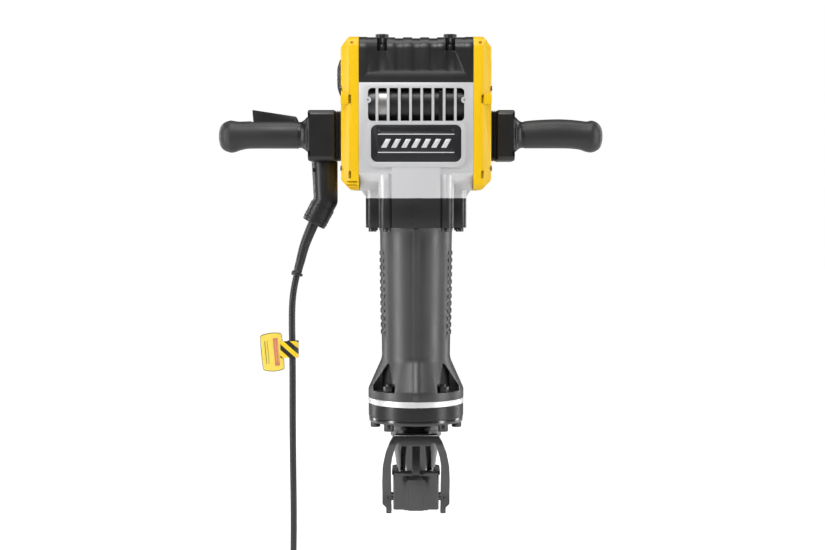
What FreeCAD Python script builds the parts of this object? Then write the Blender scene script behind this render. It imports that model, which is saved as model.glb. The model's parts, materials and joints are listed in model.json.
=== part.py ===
import FreeCAD, Part
import math
import os

# Upright electric demolition hammer (pavement breaker), in millimetres.
# Origin: mouth of the hexagonal tool socket, on its axis. +Z points up along the
# hammer's axis, +X to the operator's right-hand grip as seen from the nameplate
# side, and -Y is the nameplate (front) side.

V = FreeCAD.Vector

# ---- driving dimensions -------------------------------------------------------
# Head
HEAD_HALF = 91.5            # half width of the cast head
HEAD_FRONT = -94.0
HEAD_BACK = 100.0
HEAD_FLOOR = 531.0          # underside of the head
HEAD_SPLIT = 703.0          # joint between the casting and the top cover
HEAD_TOP = 777.0
HEAD_WALL = 6.0
COVER_GROOVE_PITCH = 27.4
GAP = 0.3                   # clearance between neighbouring castings

# Side covers
COVER_OUT = 121.0           # outer face of a side cover
COVER_CREASE = 107.0        # where the outer facets start
COVER_WALL = 3.5

# Collar, barrel and nose
COLLAR_BOTTOM = 470.0
COLLAR_TOP = 518.0
BARREL_R_TOP = 60.0
BARREL_R_LOW = 57.0
FLANGE_R = 79.7
RING_TOP = 186.5
RING_BOTTOM = 177.0
PLATE_TOP = 155.0
PLATE_BOTTOM = 147.0
BOLT_CIRCLE_R = 68.0
BOLT_ANGLES = (41.0, 90.0, 139.0, 221.0, 270.0, 319.0)   # from the front
SOCKET_AF = 29.2            # across flats, for a 28.6 mm (1-1/8 in) hexagon shank
SOCKET_DEPTH = 154.0

# Impact train
CYLINDER_R = 31.0
RUN_FIT = 0.05              # radial clearance of sliding and turning fits
CRANK_R = 19.0              # half of the piston's stroke
CRANK_Z = 610.5
PISTON_LOW = 420.0          # bottom face of the piston at the low dead centre
PISTON_LENGTH = 50.0
RAM_LOW = 252.0
RAM_LENGTH = 78.0
BEAT_LOW = 157.0

# Gear train: module, pinion teeth, wheel teeth
STAGE_1 = (1.25, 13, 55)
STAGE_2 = (2.0, 13, 51)
PRESSURE_ANGLE = math.radians(20.0)
ADDENDUM = 0.75             # stub teeth, in modules
DEDENDUM = 1.15
TOOTH_THINNING = 0.06       # in modules, on each flank
SHAFT_2_Z = CRANK_Z + STAGE_2[0] * (STAGE_2[1] + STAGE_2[2]) / 2
MOTOR_Z = SHAFT_2_Z + STAGE_1[0] * (STAGE_1[1] + STAGE_1[2]) / 2

# Motor
STATOR_R = 50.0
ROTOR_R = 28.0
SHAFT_R = 6.0

# Handles
GRIP_Z = 622.5
GRIP_R = 23.4
BLOCK_HALF_Y = 40.0
BLOCK_Z = (579.0, 662.5)
BLOCK_INNER = 132.6         # face of a handle block towards the head
LEFT_BLOCK_OUTER = 177.5
RIGHT_BLOCK_OUTER = 162.0
LEFT_GRIP_TIP = 327.5
RIGHT_GRIP_TIP = 310.0
GUIDE_PIN_X = 147.5

# Latch and the neck it folds against
NECK_R = 42.5
LATCH_Z = 17.0
LATCH_INNER = 41.0

# Mains lead
CORD_R = 5.5
GROUND_Z = -300.0           # where a fitted chisel's point would stand
COIL_CENTRE = (-110.0, 40.0)
COIL_MID_R = 60.5
COIL_TURNS_WIDE = 3          # turns side by side in each of the two layers
CORD_ROUTE = [
    (-199.5, 0.0, 388.0),
    (-205.0, 0.0, 366.0),
    (-208.0, 0.5, 326.0),
    (-206.6, 0.0, 250.0),
    (-207.2, 1.0, 120.0),
    (-205.6, 0.0, -10.0),
    (-207.0, 2.0, -100.0),
    (-206.0, 1.0, -150.0),
    (-207.2, 0.5, -198.0),
    (-205.5, 0.0, -241.4),
    (-196.8, -8.0, -265.5),
    (-178.4, -19.0, -283.9),
    (-154.3, -28.0, -293.0),
    (-110.0, -31.5, -294.4),
]


# ---- helpers --------------------------------------------------------------------
def place(plane, u, v, w):
    """Point at (u, v) in a drawing plane, at height w along its normal."""
    if plane == "xy":
        return V(u, v, w)
    if plane == "xz":
        return V(u, w, v)
    return V(w, u, v)


def outline(plane, corners, level):
    """Closed wire through (u, v, radius) corners; a radius above 0 rounds the corner."""
    count = len(corners)
    edges = []
    ends = []
    for i, corner in enumerate(corners):
        here = V(corner[0], corner[1], 0)
        radius = corner[2] if len(corner) > 2 else 0
        if radius == 0:
            ends.append((here, here, None))
            continue
        back = V(corners[i - 1][0], corners[i - 1][1], 0) - here
        ahead = V(corners[(i + 1) % count][0], corners[(i + 1) % count][1], 0) - here
        back.normalize()
        ahead.normalize()
        half = back.getAngle(ahead) / 2
        reach = radius / math.tan(half)
        middle = back + ahead
        middle.normalize()
        depth = radius / math.sin(half) - radius
        ends.append((here + back * reach, here + ahead * reach, here + middle * depth))
    for i in range(count):
        start, end, middle = ends[i]
        if middle is not None:
            points = [place(plane, p.x, p.y, level) for p in (start, middle, end)]
            edges.append(Part.Arc(points[0], points[1], points[2]).toShape())
        follow = ends[(i + 1) % count][0]
        if end.distanceToPoint(follow) > 1e-6:
            a = place(plane, end.x, end.y, level)
            b = place(plane, follow.x, follow.y, level)
            edges.append(Part.LineSegment(a, b).toShape())
    return Part.Wire(edges)


def prism(plane, corners, low, high):
    """Outline drawn in a plane, extruded from low to high along the plane's normal."""
    face = Part.Face(outline(plane, corners, low))
    return face.extrude(place(plane, 0, 0, high - low))


def turned(profile, z_axis=True, centre_z=0.0):
    """Solid of revolution: (radius, z) corners about Z, or (x, radius) corners about X."""
    if z_axis:
        face = Part.Face(outline("xz", profile, 0))
        return face.revolve(V(0, 0, 0), V(0, 0, 1), 360)
    corners = [(c[0], c[1] + centre_z) + tuple(c[2:]) for c in profile]
    face = Part.Face(outline("xz", corners, 0))
    return face.revolve(V(0, 0, centre_z), V(1, 0, 0), 360)


def box(x0, x1, y0, y1, z0, z1):
    return Part.makeBox(x1 - x0, y1 - y0, z1 - z0, V(x0, y0, z0))


def rod(radius, start, end):
    """Cylinder between two points."""
    axis = V(*end) - V(*start)
    return Part.makeCylinder(radius, axis.Length, V(*start), axis)


def cone(radius_1, radius_2, start, end):
    axis = V(*end) - V(*start)
    return Part.makeCone(radius_1, radius_2, axis.Length, V(*start), axis)


def tube(outer, inner, start, end):
    return rod(outer, start, end).cut(rod(inner, start, end))


def rounded_rect(half_u, v0, v1, radius):
    return [(-half_u, v0, radius), (half_u, v0, radius), (half_u, v1, radius), (-half_u, v1, radius)]


def hexagon(across_flats, centre=(0.0, 0.0), turn=0.0):
    corner_r = across_flats / math.sqrt(3.0)
    points = []
    for k in range(6):
        angle = math.radians(60 * k + turn)
        points.append((centre[0] + corner_r * math.cos(angle), centre[1] + corner_r * math.sin(angle)))
    return points


def joined(*shapes):
    body = shapes[0]
    for shape in shapes[1:]:
        body = body.fuse(shape)
    return body.removeSplitter()


def less(shape, *tools):
    return shape.cut(list(tools))


def mirrored(shape):
    """Copy reflected to the other side of the X = 0 plane."""
    return shape.mirror(V(0, 0, 0), V(1, 0, 0))


def export(node, *shapes):
    solids = [s for shape in shapes for s in shape.Solids]
    for solid in solids:
        if not solid.isValid() or not solid.isClosed():
            raise ValueError(node + " holds a bad solid")
    shape = solids[0] if len(solids) == 1 else Part.makeCompound(solids)
    shape.exportStep("parts/" + node + ".step")


# ---- head -------------------------------------------------------------------------
def collar_plan(low, high):
    """The shared outline of the collar and the head's neck: a block with screw columns."""
    pieces = [
        box(-39, 39, -97, 95, low, high),
        box(-61, 61, -81, 81, low, high),
        box(-71, 71, -63, 63, low, high),
        box(-82, 82, -52, 52, low, high),
    ]
    for x, y, radius in collar_screw_places():
        pieces.append(rod(radius, (x, y, low), (x, y, high)))
    return joined(*pieces)


def collar_screw_places():
    places = []
    for sx in (-1, 1):
        for sy in (-1, 1):
            places.append((47.0 * sx, 81.0 * sy, 14.0))
            places.append((71.0 * sx, 52.0 * sy, 11.0))
    return places


def bearing_seats():
    """Centre height, radius and X range of each bearing, and its shaft radius."""
    return {
        "motor_left": (MOTOR_Z, 12.0, -79.0, -69.0, 6.0),
        "motor_right": (MOTOR_Z, 13.0, 36.5, 46.5, 6.0),
        "second_left": (SHAFT_2_Z, 11.0, 36.5, 44.5, 6.0),
        "second_right": (SHAFT_2_Z, 11.0, 83.5, 90.5, 6.0),
        "crank_left": (CRANK_Z, 22.0, 29.0, 44.0, 13.0),
        "crank_right": (CRANK_Z, 17.0, 79.0, 90.5, 9.0),
    }


def upper_housing():
    profile = [
        (HEAD_FRONT, HEAD_SPLIT - GAP), (HEAD_FRONT, 557, 7), (HEAD_FRONT + 9, 545, 7),
        (HEAD_FRONT + 30, HEAD_FLOOR, 6), (HEAD_BACK - 28, HEAD_FLOOR, 6),
        (HEAD_BACK, 556, 10), (HEAD_BACK, HEAD_SPLIT - GAP),
    ]
    body = prism("yz", profile, -HEAD_HALF, HEAD_HALF)
    neck = collar_plan(COLLAR_TOP + 0.1, 556)
    panel = prism("xz", rounded_rect(39, 540, 576, 3), -97, -80)
    rim = prism("xz", rounded_rect(80, 568, 641, 16), -98.5, -90)
    coves = []
    for side in (-1, 1):
        cove = prism("xz", [(side * 81, COLLAR_TOP + 4), (side * 83, COLLAR_TOP + 4), (side * 91.4, 534),
                            (side * 81, 536)], -50, 50)
        coves.append(cove)
    body = joined(body, neck, panel, rim, *coves)
    inside = box(-HEAD_HALF + 7, HEAD_HALF - 7, HEAD_FRONT + HEAD_WALL, HEAD_BACK - HEAD_WALL,
                 HEAD_FLOOR + 26, HEAD_TOP)
    well = box(-70, 70, -60, 66, HEAD_FLOOR + 9, HEAD_FLOOR + 30)
    throat = rod(34, (0, 0, COLLAR_TOP - 1), (0, 0, HEAD_FLOOR + 12))
    body = less(body, inside, well, throat)
    body = joined(body, *housing_bosses())
    return less(body, *housing_cuts())


def housing_bosses():
    seats = bearing_seats()
    bosses = [rod(24, (76, 0, CRANK_Z), (HEAD_HALF, 0, CRANK_Z))]
    second = seats["second_right"]
    bosses.append(rod(17, (second[2], 0, SHAFT_2_Z), (HEAD_HALF, 0, SHAFT_2_Z)))
    return bosses


def housing_cuts():
    """Grille slots, nameplate pocket, bearing seats, motor cradle and screw holes."""
    cuts = []
    seats = bearing_seats()
    for name in ("second_right", "crank_right"):
        z, radius, x0, x1, _ = seats[name]
        cuts.append(rod(radius, (x0 - 10, 0, z), (x1, 0, z)))
    cuts.append(rod(STATOR_R + 3, (-95, 0, MOTOR_Z), (-80, 0, MOTOR_Z)))
    cuts.append(prism("xz", rounded_rect(72.3, 575.7, 635.3, 10.3), -99, -96))
    grille = prism("xz", rounded_rect(77, 641.5, 694, 6.5), -101, HEAD_FRONT + HEAD_WALL + 1)
    keep = [box(x - 2.1, x + 2.1, -102, -80, 640, 696) for x in grille_bars()]
    keep += [rod(5, (77 * s, -102, 675), (77 * s, -80, 675)) for s in (-1, 1)]
    cuts.append(less(grille, *keep))
    for s in (-1, 1):
        cuts.append(rod(1.6, (77 * s, -100, 675), (77 * s, -91, 675)))
        cuts.append(rod(1.8, (59 * s, -97, 626), (59 * s, -84, 626)))
        for y in (-80, 84):
            for z in (566, 694):
                cuts.append(rod(2.0, (s * 80, y, z), (s * 93, y, z)))
        for y in (-22, 22):
            for z in (606, 640):
                cuts.append(rod(3.6, (s * 80, y, z), (s * 93, y, z)))
    for x, y, _ in collar_screw_places():
        cuts.append(rod(4.1, (x, y, COLLAR_TOP - 1), (x, y, 550)))
    return cuts


def grille_bars():
    pitch = 17.9
    return [pitch * (k + 0.5) for k in range(-4, 4)]


def cover_profile(inset):
    front = HEAD_FRONT + inset
    back = HEAD_BACK - inset
    top = HEAD_TOP - inset
    return [(front, HEAD_SPLIT), (front, top, 21 - inset), (back, top, 21 - inset), (back, HEAD_SPLIT)]


def cover_skin(depth):
    """Everything within a depth of the top cover's outer surface."""
    return less(prism("yz", cover_profile(-1), -HEAD_HALF, HEAD_HALF),
                prism("yz", cover_profile(depth), -HEAD_HALF, HEAD_HALF))


def top_cover():
    half = HEAD_HALF
    shell = prism("yz", cover_profile(0), -half, half)
    shell = less(shell, prism("yz", cover_profile(4), -half - 1, half + 1))
    panel = prism("xz", [(-78.5, 718.5, 3), (78.5, 718.5, 3), (78.5, 790), (-78.5, 790)], -99, 78)
    grooves = [panel.common(cover_skin(0.7))]
    for k in range(-2, 3):
        x = COVER_GROOVE_PITCH * k
        if abs(k) == 2:
            corners = [(x - 6.5, 720, 6), (x + 6.5, 720, 6), (x + 6.5, 756.5, 6.4), (x - 6.5, 756.5, 6.4)]
        else:
            corners = [(x - 6.5, 720, 6), (x + 6.5, 720, 6), (x + 6.5, 790), (x - 6.5, 790)]
        grooves.append(prism("xz", corners, -99, 72).common(cover_skin(2.3)))
    ends = []
    for side in (-1, 1):
        x0, x1 = sorted((side * half, side * (half - 3)))
        ends.append(prism("yz", cover_profile(0), x0, x1))
    bosses = []
    pockets = []
    for x in (-54.5, 54.5):
        bosses.append(rod(10.5, (x, -79, 744), (x, -79, HEAD_TOP + 3)))
        pockets.append(rod(7.8, (x, -79, 753), (x, -79, HEAD_TOP + 4)))
        pockets.append(box(x - 7.8, x + 7.8, -99, -79, 753, HEAD_TOP - 3))
        pockets.append(rod(4.2, (x, -79, HEAD_SPLIT - 1), (x, -79, 754)))
    window = rod(STATOR_R + 2, (-95, 0, MOTOR_Z), (-HEAD_HALF + 4, 0, MOTOR_Z))
    shell = joined(less(shell, *grooves), *ends)
    shell = joined(shell, *bosses)
    return less(shell, window, *pockets)


def side_cover(side):
    """Yellow shell over one side of the head; side is -1 (left) or 1 (right)."""
    inner_x = HEAD_HALF + GAP
    outer = cover_block(side, inner_x, 0)
    hollow = cover_block(side, inner_x - 1, COVER_WALL)
    shell = less(outer, hollow)
    x0, x1 = sorted((side * 108.4, side * 120.7))
    clip = prism("xz", [(x0, 668.5, 2), (x1, 668.5, 2), (x1, 684, 3), (x0, 684, 3)], HEAD_FRONT - 2.6, -80)
    cuts = [rod(2.6, (side * 102.5, HEAD_FRONT - 1, 766), (side * 102.5, HEAD_FRONT + 5, 766))]
    x0, x1 = sorted((side * 104.6, side * 108.3))
    cuts.append(box(x0, x1, HEAD_FRONT - 1, HEAD_FRONT + 5, 669.5, 683))
    cuts.append(box(x0, x1, HEAD_FRONT - 1, HEAD_FRONT + 5, 549.5, 562))
    for y, z in cover_screw_places():
        cuts.append(rod(2.3, (side * 95, y, z), (side * 125, y, z)))
        cuts.append(rod(4.6, (side * (COVER_OUT - 1.6), y, z), (side * 125, y, z)))
    for y in (-22, 22):
        for z in (606, 640):
            cuts.append(rod(4.0, (side * 95, y, z), (side * 125, y, z)))
    if side < 0:
        cuts.append(rod(27, (-125, 0, MOTOR_Z), (-110, 0, MOTOR_Z)))
        for z in (544, 539, 534.5):
            cuts.append(box(-112, -94, HEAD_FRONT - 1, HEAD_FRONT + 5, z - 0.8, z + 0.8))
    posts = []
    for y, z in cover_screw_places():
        posts.append(tube(6.0, 2.3, (side * inner_x, y, z), (side * (COVER_OUT - 2), y, z)))
    for y in (-22, 22):
        for z in (606, 640):
            posts.append(tube(7.5, 4.0, (side * inner_x, y, z), (side * (COVER_OUT - 1), y, z)))
    return less(joined(shell, clip, *posts), *cuts)


def cover_screw_places():
    return [(-80, 566), (84, 566), (-80, 694), (84, 694)]


def cover_block(side, inner_x, inset):
    out = COVER_OUT - inset
    crease = COVER_CREASE - inset * 0.6
    low = HEAD_FLOOR + inset
    high = HEAD_TOP - inset
    front = HEAD_FRONT + inset
    back = HEAD_BACK - inset
    face_view = [(side * inner_x, low), (side * (crease - 2), low, 4), (side * out, 547, 8),
                 (side * out, 759, 8), (side * crease, high, 6), (side * inner_x, high)]
    plan = [(side * inner_x, front), (side * crease, front, 3), (side * out, front + 12, 6),
            (side * out, back - 14, 8), (side * crease, back, 5), (side * inner_x, back)]
    block = prism("xz", face_view, front - 1, back + 1).common(prism("xy", plan, low - 1, high + 1))
    return block.common(prism("yz", side_view_profile(inset), -140, 140))


def side_view_profile(inset):
    front = HEAD_FRONT + inset
    back = HEAD_BACK - inset
    low = HEAD_FLOOR + inset
    high = HEAD_TOP - inset
    return [(front, low, 12), (back, low, 16), (back, high, 18), (front, high, 18)]


def vent_cap():
    """Round louvred cap over the fan, with a ring of slots and a domed rim."""
    profile = [(-127, 0), (-130, 0), (-130, 18, 14), (-125.5, 31, 3), (-121.3, 31), (-121.3, 26.7),
               (-116, 26.7), (-116, 24), (-127, 24)]
    cap = turned(profile, False, MOTOR_Z)
    slots = []
    for k in range(12):
        angle = math.radians(30 * k)
        slot = box(-135, -118, -1.8, 1.8, 9, 21)
        slot.rotate(V(0, 0, 0), V(1, 0, 0), math.degrees(angle))
        slot.translate(V(0, 0, MOTOR_Z))
        slots.append(slot)
    return less(cap, *slots)


def nameplate():
    plate = prism("xz", rounded_rect(72, 576, 635, 10), -98.0, -96.1)
    lines = [box(-61, 61, -98.5, -98.0, z - 0.7, z + 0.7) for z in (620, 591)]
    holes = [rod(1.9, (x, -100, 626), (x, -90, 626)) for x in (-59, 59)]
    return less(joined(plate, *lines), *holes)


def small_screws():
    """Nameplate and side-cover screws."""
    screws = []
    for x in (-59, 59):
        screws.append(joined(rod(1.6, (x, -98.2, 626), (x, -85, 626)), rod(3.0, (x, -99.2, 626), (x, -98.1, 626))))
    for side in (-1, 1):
        for y, z in cover_screw_places():
            head = rod(4.2, (side * 119.6, y, z), (side * 122, y, z))
            recess = prism_x(hexagon(4.0, (y, z)), side * 120.6, side * 123)
            shank = rod(1.95, (side * 85, y, z), (side * 120, y, z))
            screws.append(less(joined(head, shank), recess))
    return screws


def prism_x(points, x0, x1):
    """Polygon of (y, z) points extruded between two X values."""
    low, high = sorted((x0, x1))
    return prism("yz", points, low, high)


def cap_screw(x, y, head_low, head_high, shank_end, head_r, shank_r, socket_up):
    """Socket-head cap screw standing along Z; socket_up says which end the socket faces."""
    head = rod(head_r, (x, y, head_low), (x, y, head_high))
    socket_depth = (head_high - head_low) * 0.55
    if socket_up:
        socket = prism("xy", hexagon(head_r, (x, y)), head_high - socket_depth, head_high + 1)
        shank = rod(shank_r, (x, y, shank_end), (x, y, head_low))
    else:
        socket = prism("xy", hexagon(head_r, (x, y)), head_low - 1, head_low + socket_depth)
        shank = rod(shank_r, (x, y, head_high), (x, y, shank_end))
    return less(joined(head, shank), socket)


def cap_screws():
    """Top-cover screws, collar screws and the screws that hold the handle brackets."""
    screws = [cap_screw(x, -79, 753.1, 763, 704, 7.2, 4.0, True) for x in (-54.5, 54.5)]
    for x, y, _ in collar_screw_places():
        screws.append(cap_screw(x, y, COLLAR_BOTTOM - 6.5, COLLAR_BOTTOM - 0.05, 548, 6.5, 4.0, False))
    for side in (-1, 1):
        for y in (-22, 22):
            for z in (606, 640):
                head = rod(6.0, (side * 127.1, y, z), (side * 131, y, z))
                shank = rod(3.5, (side * 81, y, z), (side * 128, y, z))
                socket = prism_x(hexagon(5.0, (y, z)), side * 128.5, side * 132)
                screws.append(less(joined(head, shank), socket))
    return screws


# ---- collar, barrel, flange and nose --------------------------------------------------
def collar():
    body = collar_plan(COLLAR_BOTTOM, COLLAR_TOP)
    cuts = [rod(56.2, (0, 0, COLLAR_BOTTOM - 1), (0, 0, COLLAR_TOP + 1))]
    for x, y, _ in collar_screw_places():
        cuts.append(rod(4.2, (x, y, COLLAR_BOTTOM - 1), (x, y, COLLAR_TOP + 1)))
    return less(body, *cuts)


def barrel_outline(extra):
    return [
        (0.01, RING_TOP + 0.1), (FLANGE_R + extra, RING_TOP + 0.1, 1.0), (FLANGE_R + extra, 201, 14),
        (BARREL_R_LOW + extra, 252, 30), (BARREL_R_LOW + extra, 262, 0),
        (BARREL_R_TOP + extra, 462, 0), (BARREL_R_TOP + extra + 2, COLLAR_BOTTOM - 0.1, 0),
        (0.01, COLLAR_BOTTOM - 0.1),
    ]


def rib_web(angle):
    """Wall across the barrel's cored space, turned about the hammer's axis."""
    web = box(-3, 3, -60, 60, 250, 510)
    web.rotate(V(0, 0, 0), V(0, 0, 1), angle)
    return web


def barrel():
    body = turned(barrel_outline(0))
    raised = turned(barrel_outline(2.6))
    rib = raised.common(box(-4, 4, -90, -40, 190, 468))
    back_rib = raised.common(box(-4, 4, 40, 90, 190, 468))
    ridges = []
    grip_rise = turned(barrel_outline(1.5))
    for k in range(12):
        z = 292 + 12 * k
        for side in (-1, 1):
            x0, x1 = sorted((side * 48, side * 70))
            ridges.append(grip_rise.common(box(x0, x1, -26, 26, z, z + 6)))
    spigot = rod(56, (0, 0, COLLAR_BOTTOM - 5), (0, 0, 517))
    body = joined(body, rib, back_rib, spigot, *ridges)
    core = rod(BARREL_R_LOW - 0.5, (0, 0, 190), (0, 0, 300))
    cavity = less(tube(52.5, 41.5, (0, 0, 262), (0, 0, 500)),
                  *[rib_web(45 * k) for k in range(4)])
    cuts = [rod(37, (0, 0, 180), (0, 0, 520)), rod(44.2, (0, 0, 507), (0, 0, 520)), cavity]
    for side in (-1, 1):
        for y0, y1 in ((-95, -8), (8, 95)):
            wedge = prism("xz", [(side * 34.5, 200.2), (side * 71, 200.2, 2), (side * 71, 209, 3),
                                 (side * 44, 249, 2), (side * 39, 216), (side * 34.5, 214)], y0, y1)
            cuts.append(wedge.cut(core))
    for angle in BOLT_ANGLES:
        x, y = on_bolt_circle(angle)
        cuts.append(rod(5.3, (x, y, RING_TOP - 1), (x, y, 197 if angle in (90.0, 270.0) else 202)))
    return less(body, *cuts)


def on_bolt_circle(angle_from_front):
    angle = math.radians(angle_from_front)
    return BOLT_CIRCLE_R * math.sin(angle), -BOLT_CIRCLE_R * math.cos(angle)


def ring(outer, inner, low, high, edge):
    profile = [(inner, low), (outer, low, edge), (outer, high, edge), (inner, high)]
    body = turned(profile)
    holes = []
    for angle in BOLT_ANGLES:
        x, y = on_bolt_circle(angle)
        holes.append(rod(5.3, (x, y, low - 1), (x, y, high + 1)))
    return less(body, *holes)


def nose_bolts():
    """Six socket-head bolts up through the nose plate, and nuts in the barrel's pockets."""
    pieces = []
    for angle in BOLT_ANGLES:
        x, y = on_bolt_circle(angle)
        side_bolt = angle in (90.0, 270.0)
        end = 195 if side_bolt else 213
        pieces.append(cap_screw(x, y, 135.3, PLATE_BOTTOM - 0.05, end, 8.2, 5.0, False))
        if not side_bolt:
            nut = prism("xy", hexagon(16.0, (x, y)), 200.3, 209)
            pieces.append(nut.cut(rod(5.05, (x, y, 190), (x, y, 215))))
    return pieces


def nose():
    profile = [
        (23.95, 1.0), (30, 1.0), (32, 65), (36, 94), (38, 117), (NECK_R, 122), (NECK_R, 134), (47, 141),
        (49, PLATE_BOTTOM), (78.5, PLATE_BOTTOM), (78.5, PLATE_TOP - 0.1), (23.95, PLATE_TOP - 0.1),
    ]
    body = turned(profile)
    block = prism("xy", [(-38, -30, 5), (38, -30, 5), (38, 34, 12), (-38, 34, 12)], 0, 61)
    lip = prism("xy", [(-40, -33, 7), (40, -33, 7), (40, 35, 12), (-40, 35, 12)], 58.5, 65)
    arch = prism("xz", [(-20, 0), (20, 0), (20, 57, 14), (-20, 57, 14)], -36, -20)
    rib = prism("xz", [(-12.4, 0), (12.4, 0), (12.4, 52, 2), (6.2, 60, 2), (6.2, 110), (-6.2, 110),
                       (-6.2, 60, 2), (-12.4, 52, 2)], -39.5, -20)
    back_rib = prism("xz", [(-6.2, 2), (6.2, 2), (6.2, 110), (-6.2, 110)], 25, 39)
    body = joined(body, block, lip, arch, rib, back_rib)
    cuts = [rod(23.95, (0, 0, -1), (0, 0, 160))]
    for side in (-1, 1):
        cuts.append(rod(7.0 + RUN_FIT, (side * 26, 0, LATCH_Z), (side * 45, 0, LATCH_Z)))
    for angle in BOLT_ANGLES:
        x, y = on_bolt_circle(angle)
        cuts.append(rod(5.3, (x, y, PLATE_BOTTOM - 1), (x, y, PLATE_TOP + 1)))
    return less(body, *cuts)


def tool_sleeve():
    body = rod(23.9, (0, 0, 0.5), (0, 0, SOCKET_DEPTH))
    return body.cut(prism("xy", hexagon(SOCKET_AF), -1, SOCKET_DEPTH + 1))


def latch():
    """Wishbone tool latch, folded up in front of the nose; it turns about X at LATCH_Z."""
    inner = [(-50, -10.7, 2), (-40.6, -10.7, 2), (-LATCH_INNER, 3), (-LATCH_INNER - 0.5, 50), (-41.8, 72, 20),
             (-39.2, 91, 20), (-35, 106, 15), (-30.2, 119, 3), (-22, 111.5, 9), (22, 111.5, 9), (30.2, 119, 3),
             (35, 106, 15), (39.2, 91, 20), (41.8, 72, 20), (LATCH_INNER + 0.5, 50), (LATCH_INNER, 3),
             (40.6, -10.7, 2), (50, -10.7, 2)]
    outer = [(50, 0, 3), (56.4, 6, 5), (56.4, 48, 30), (55.2, 74, 20), (50.5, 97, 20), (43.5, 116, 14),
             (35, 131, 5), (-35, 131, 5), (-43.5, 116, 14), (-50.5, 97, 20), (-55.2, 74, 20),
             (-56.4, 48, 30), (-56.4, 6, 5), (-50, 0, 3)]
    face = prism("xz", inner + outer, -80, 40)
    lean = [(-12, -12, 8), (12, -12, 8), (12, 30, 10), (-16, 66, 30), (-44, 132, 4), (-59, 132, 6), (-59, 112, 6),
            (-36, 60, 30), (-12, 24, 10)]
    body = face.common(prism("yz", lean, -70, 70))
    cuts = [rod(NECK_R + 3, (0, 0, 96), (0, 0, 140))]
    for side in (-1, 1):
        cuts.append(rod(7.0, (side * 38, 0, LATCH_Z), (side * 52, 0, LATCH_Z)))
        cuts.append(rod(2.6, (side * 46.5, -20, LATCH_Z), (side * 46.5, 20, LATCH_Z)))
    return less(body, *cuts)


def latch_pins():
    """Two stub pins that turn in the nose, each held to its latch arm by a roll pin."""
    pieces = []
    for side in (-1, 1):
        stub = rod(7.0, (side * 27, 0, LATCH_Z), (side * 51.5, 0, LATCH_Z))
        stub = stub.cut(rod(2.6, (side * 46.5, -20, LATCH_Z), (side * 46.5, 20, LATCH_Z)))
        roll = tube(2.55, 1.4, (side * 46.5, -12.5, LATCH_Z), (side * 46.5, 12.5, LATCH_Z))
        pieces += [stub, roll]
    return pieces


# ---- impact train --------------------------------------------------------------------
def cylinder_liner():
    profile = [(CYLINDER_R, 246.2), (36.5, 246.2), (36.5, 507.2), (44, 507.2), (44, 517), (CYLINDER_R, 517)]
    return turned(profile)


def beat_bush():
    return turned([(15 + RUN_FIT, 188), (36.5, 188, 1), (36.5, 236, 1), (22 + RUN_FIT, 236), (22 + RUN_FIT, 204),
                   (15 + RUN_FIT, 204)])


def buffer_ring():
    return turned([(24, 237), (36.4, 237, 2), (36.4, 246, 2), (24, 246, 2)])


def beat_piece():
    return turned([(0, BEAT_LOW), (13, BEAT_LOW), (15, BEAT_LOW + 3), (15, 204.2), (22, 204.2), (22, 226),
                   (20, 228), (0, 228)])


def ram():
    top = RAM_LOW + RAM_LENGTH
    r = CYLINDER_R - RUN_FIT
    return turned([(0, 240), (18, 240), (20, 242), (20, RAM_LOW), (r, RAM_LOW), (r, top - 22), (28.6, top - 22),
                   (28.6, top - 18), (r, top - 18), (r, top), (8, top), (8, top - 12), (0, top - 12)])


def piston():
    low = PISTON_LOW
    top = PISTON_LOW + PISTON_LENGTH
    r = CYLINDER_R - RUN_FIT
    body = turned([(0, low), (r, low), (r, low + 8), (28.6, low + 8), (28.6, low + 12), (r, low + 12), (r, top),
                   (22, top), (22, low + 14), (0, low + 14)])
    cross = box(-24, 24, -9, 9, low + 14, top - 6)
    cross = cross.common(rod(24, (0, 0, low), (0, 0, top)))
    slot = box(-10.2, 10.2, -24, 24, low + 14, top + 1)
    pin_hole = rod(7.0, (-40, 0, low + 28), (40, 0, low + 28))
    return less(joined(body, cross), slot, pin_hole)


def wrist_pin():
    return tube(7.0, 3.0, (-27, 0, PISTON_LOW + 28), (27, 0, PISTON_LOW + 28))


def yoke_rod():
    """Slotted yoke that the crank pin drives, and the rod down to the piston."""
    z = CRANK_Z - CRANK_R
    frame = prism("yz", [(-42, z - 22, 6), (42, z - 22, 6), (42, z + 22, 6), (-42, z + 22, 6)], -11, 11)
    slot = prism("yz", [(-35, z - 13.05, 2), (35, z - 13.05, 2), (35, z + 13.05, 2), (-35, z + 13.05, 2)],
                 -12, 12)
    stub_foot = joined(box(-13, -8, -7, 7, z - 22, z + 22), rod(6, (-23.5, 0, z), (-12, 0, z)))
    stem = rod(10, (0, 0, PISTON_LOW + 28), (0, 0, z - 14))
    eye = rod(13, (-10, 0, PISTON_LOW + 28), (10, 0, PISTON_LOW + 28))
    body = joined(frame.cut(slot), stub_foot, stem, eye)
    return body.cut(rod(7.0, (-40, 0, PISTON_LOW + 28), (40, 0, PISTON_LOW + 28)))


def slider_block():
    z = CRANK_Z - CRANK_R
    block = box(-7.5, 12, -13, 13, z - 13, z + 13)
    return block.cut(rod(9 + RUN_FIT, (-14, 0, z), (14, 0, z)))


def guide_roller():
    z = CRANK_Z - CRANK_R
    return tube(12, 6 + RUN_FIT, (-22, 0, z), (-14, 0, z))


def roller_guide():
    """Plate with two rails that keep the yoke's roller on the hammer's axis."""
    base = box(-33, -26, -30, 30, 540.2, 655)
    rails = [box(-27, -14, s * 15.05 - 3, s * 15.05 + 3, 566, 655) for s in (-1, 1)]
    foot = box(-45, -26, -30, 30, 540.2, 547)
    return joined(base, foot, *rails)


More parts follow.
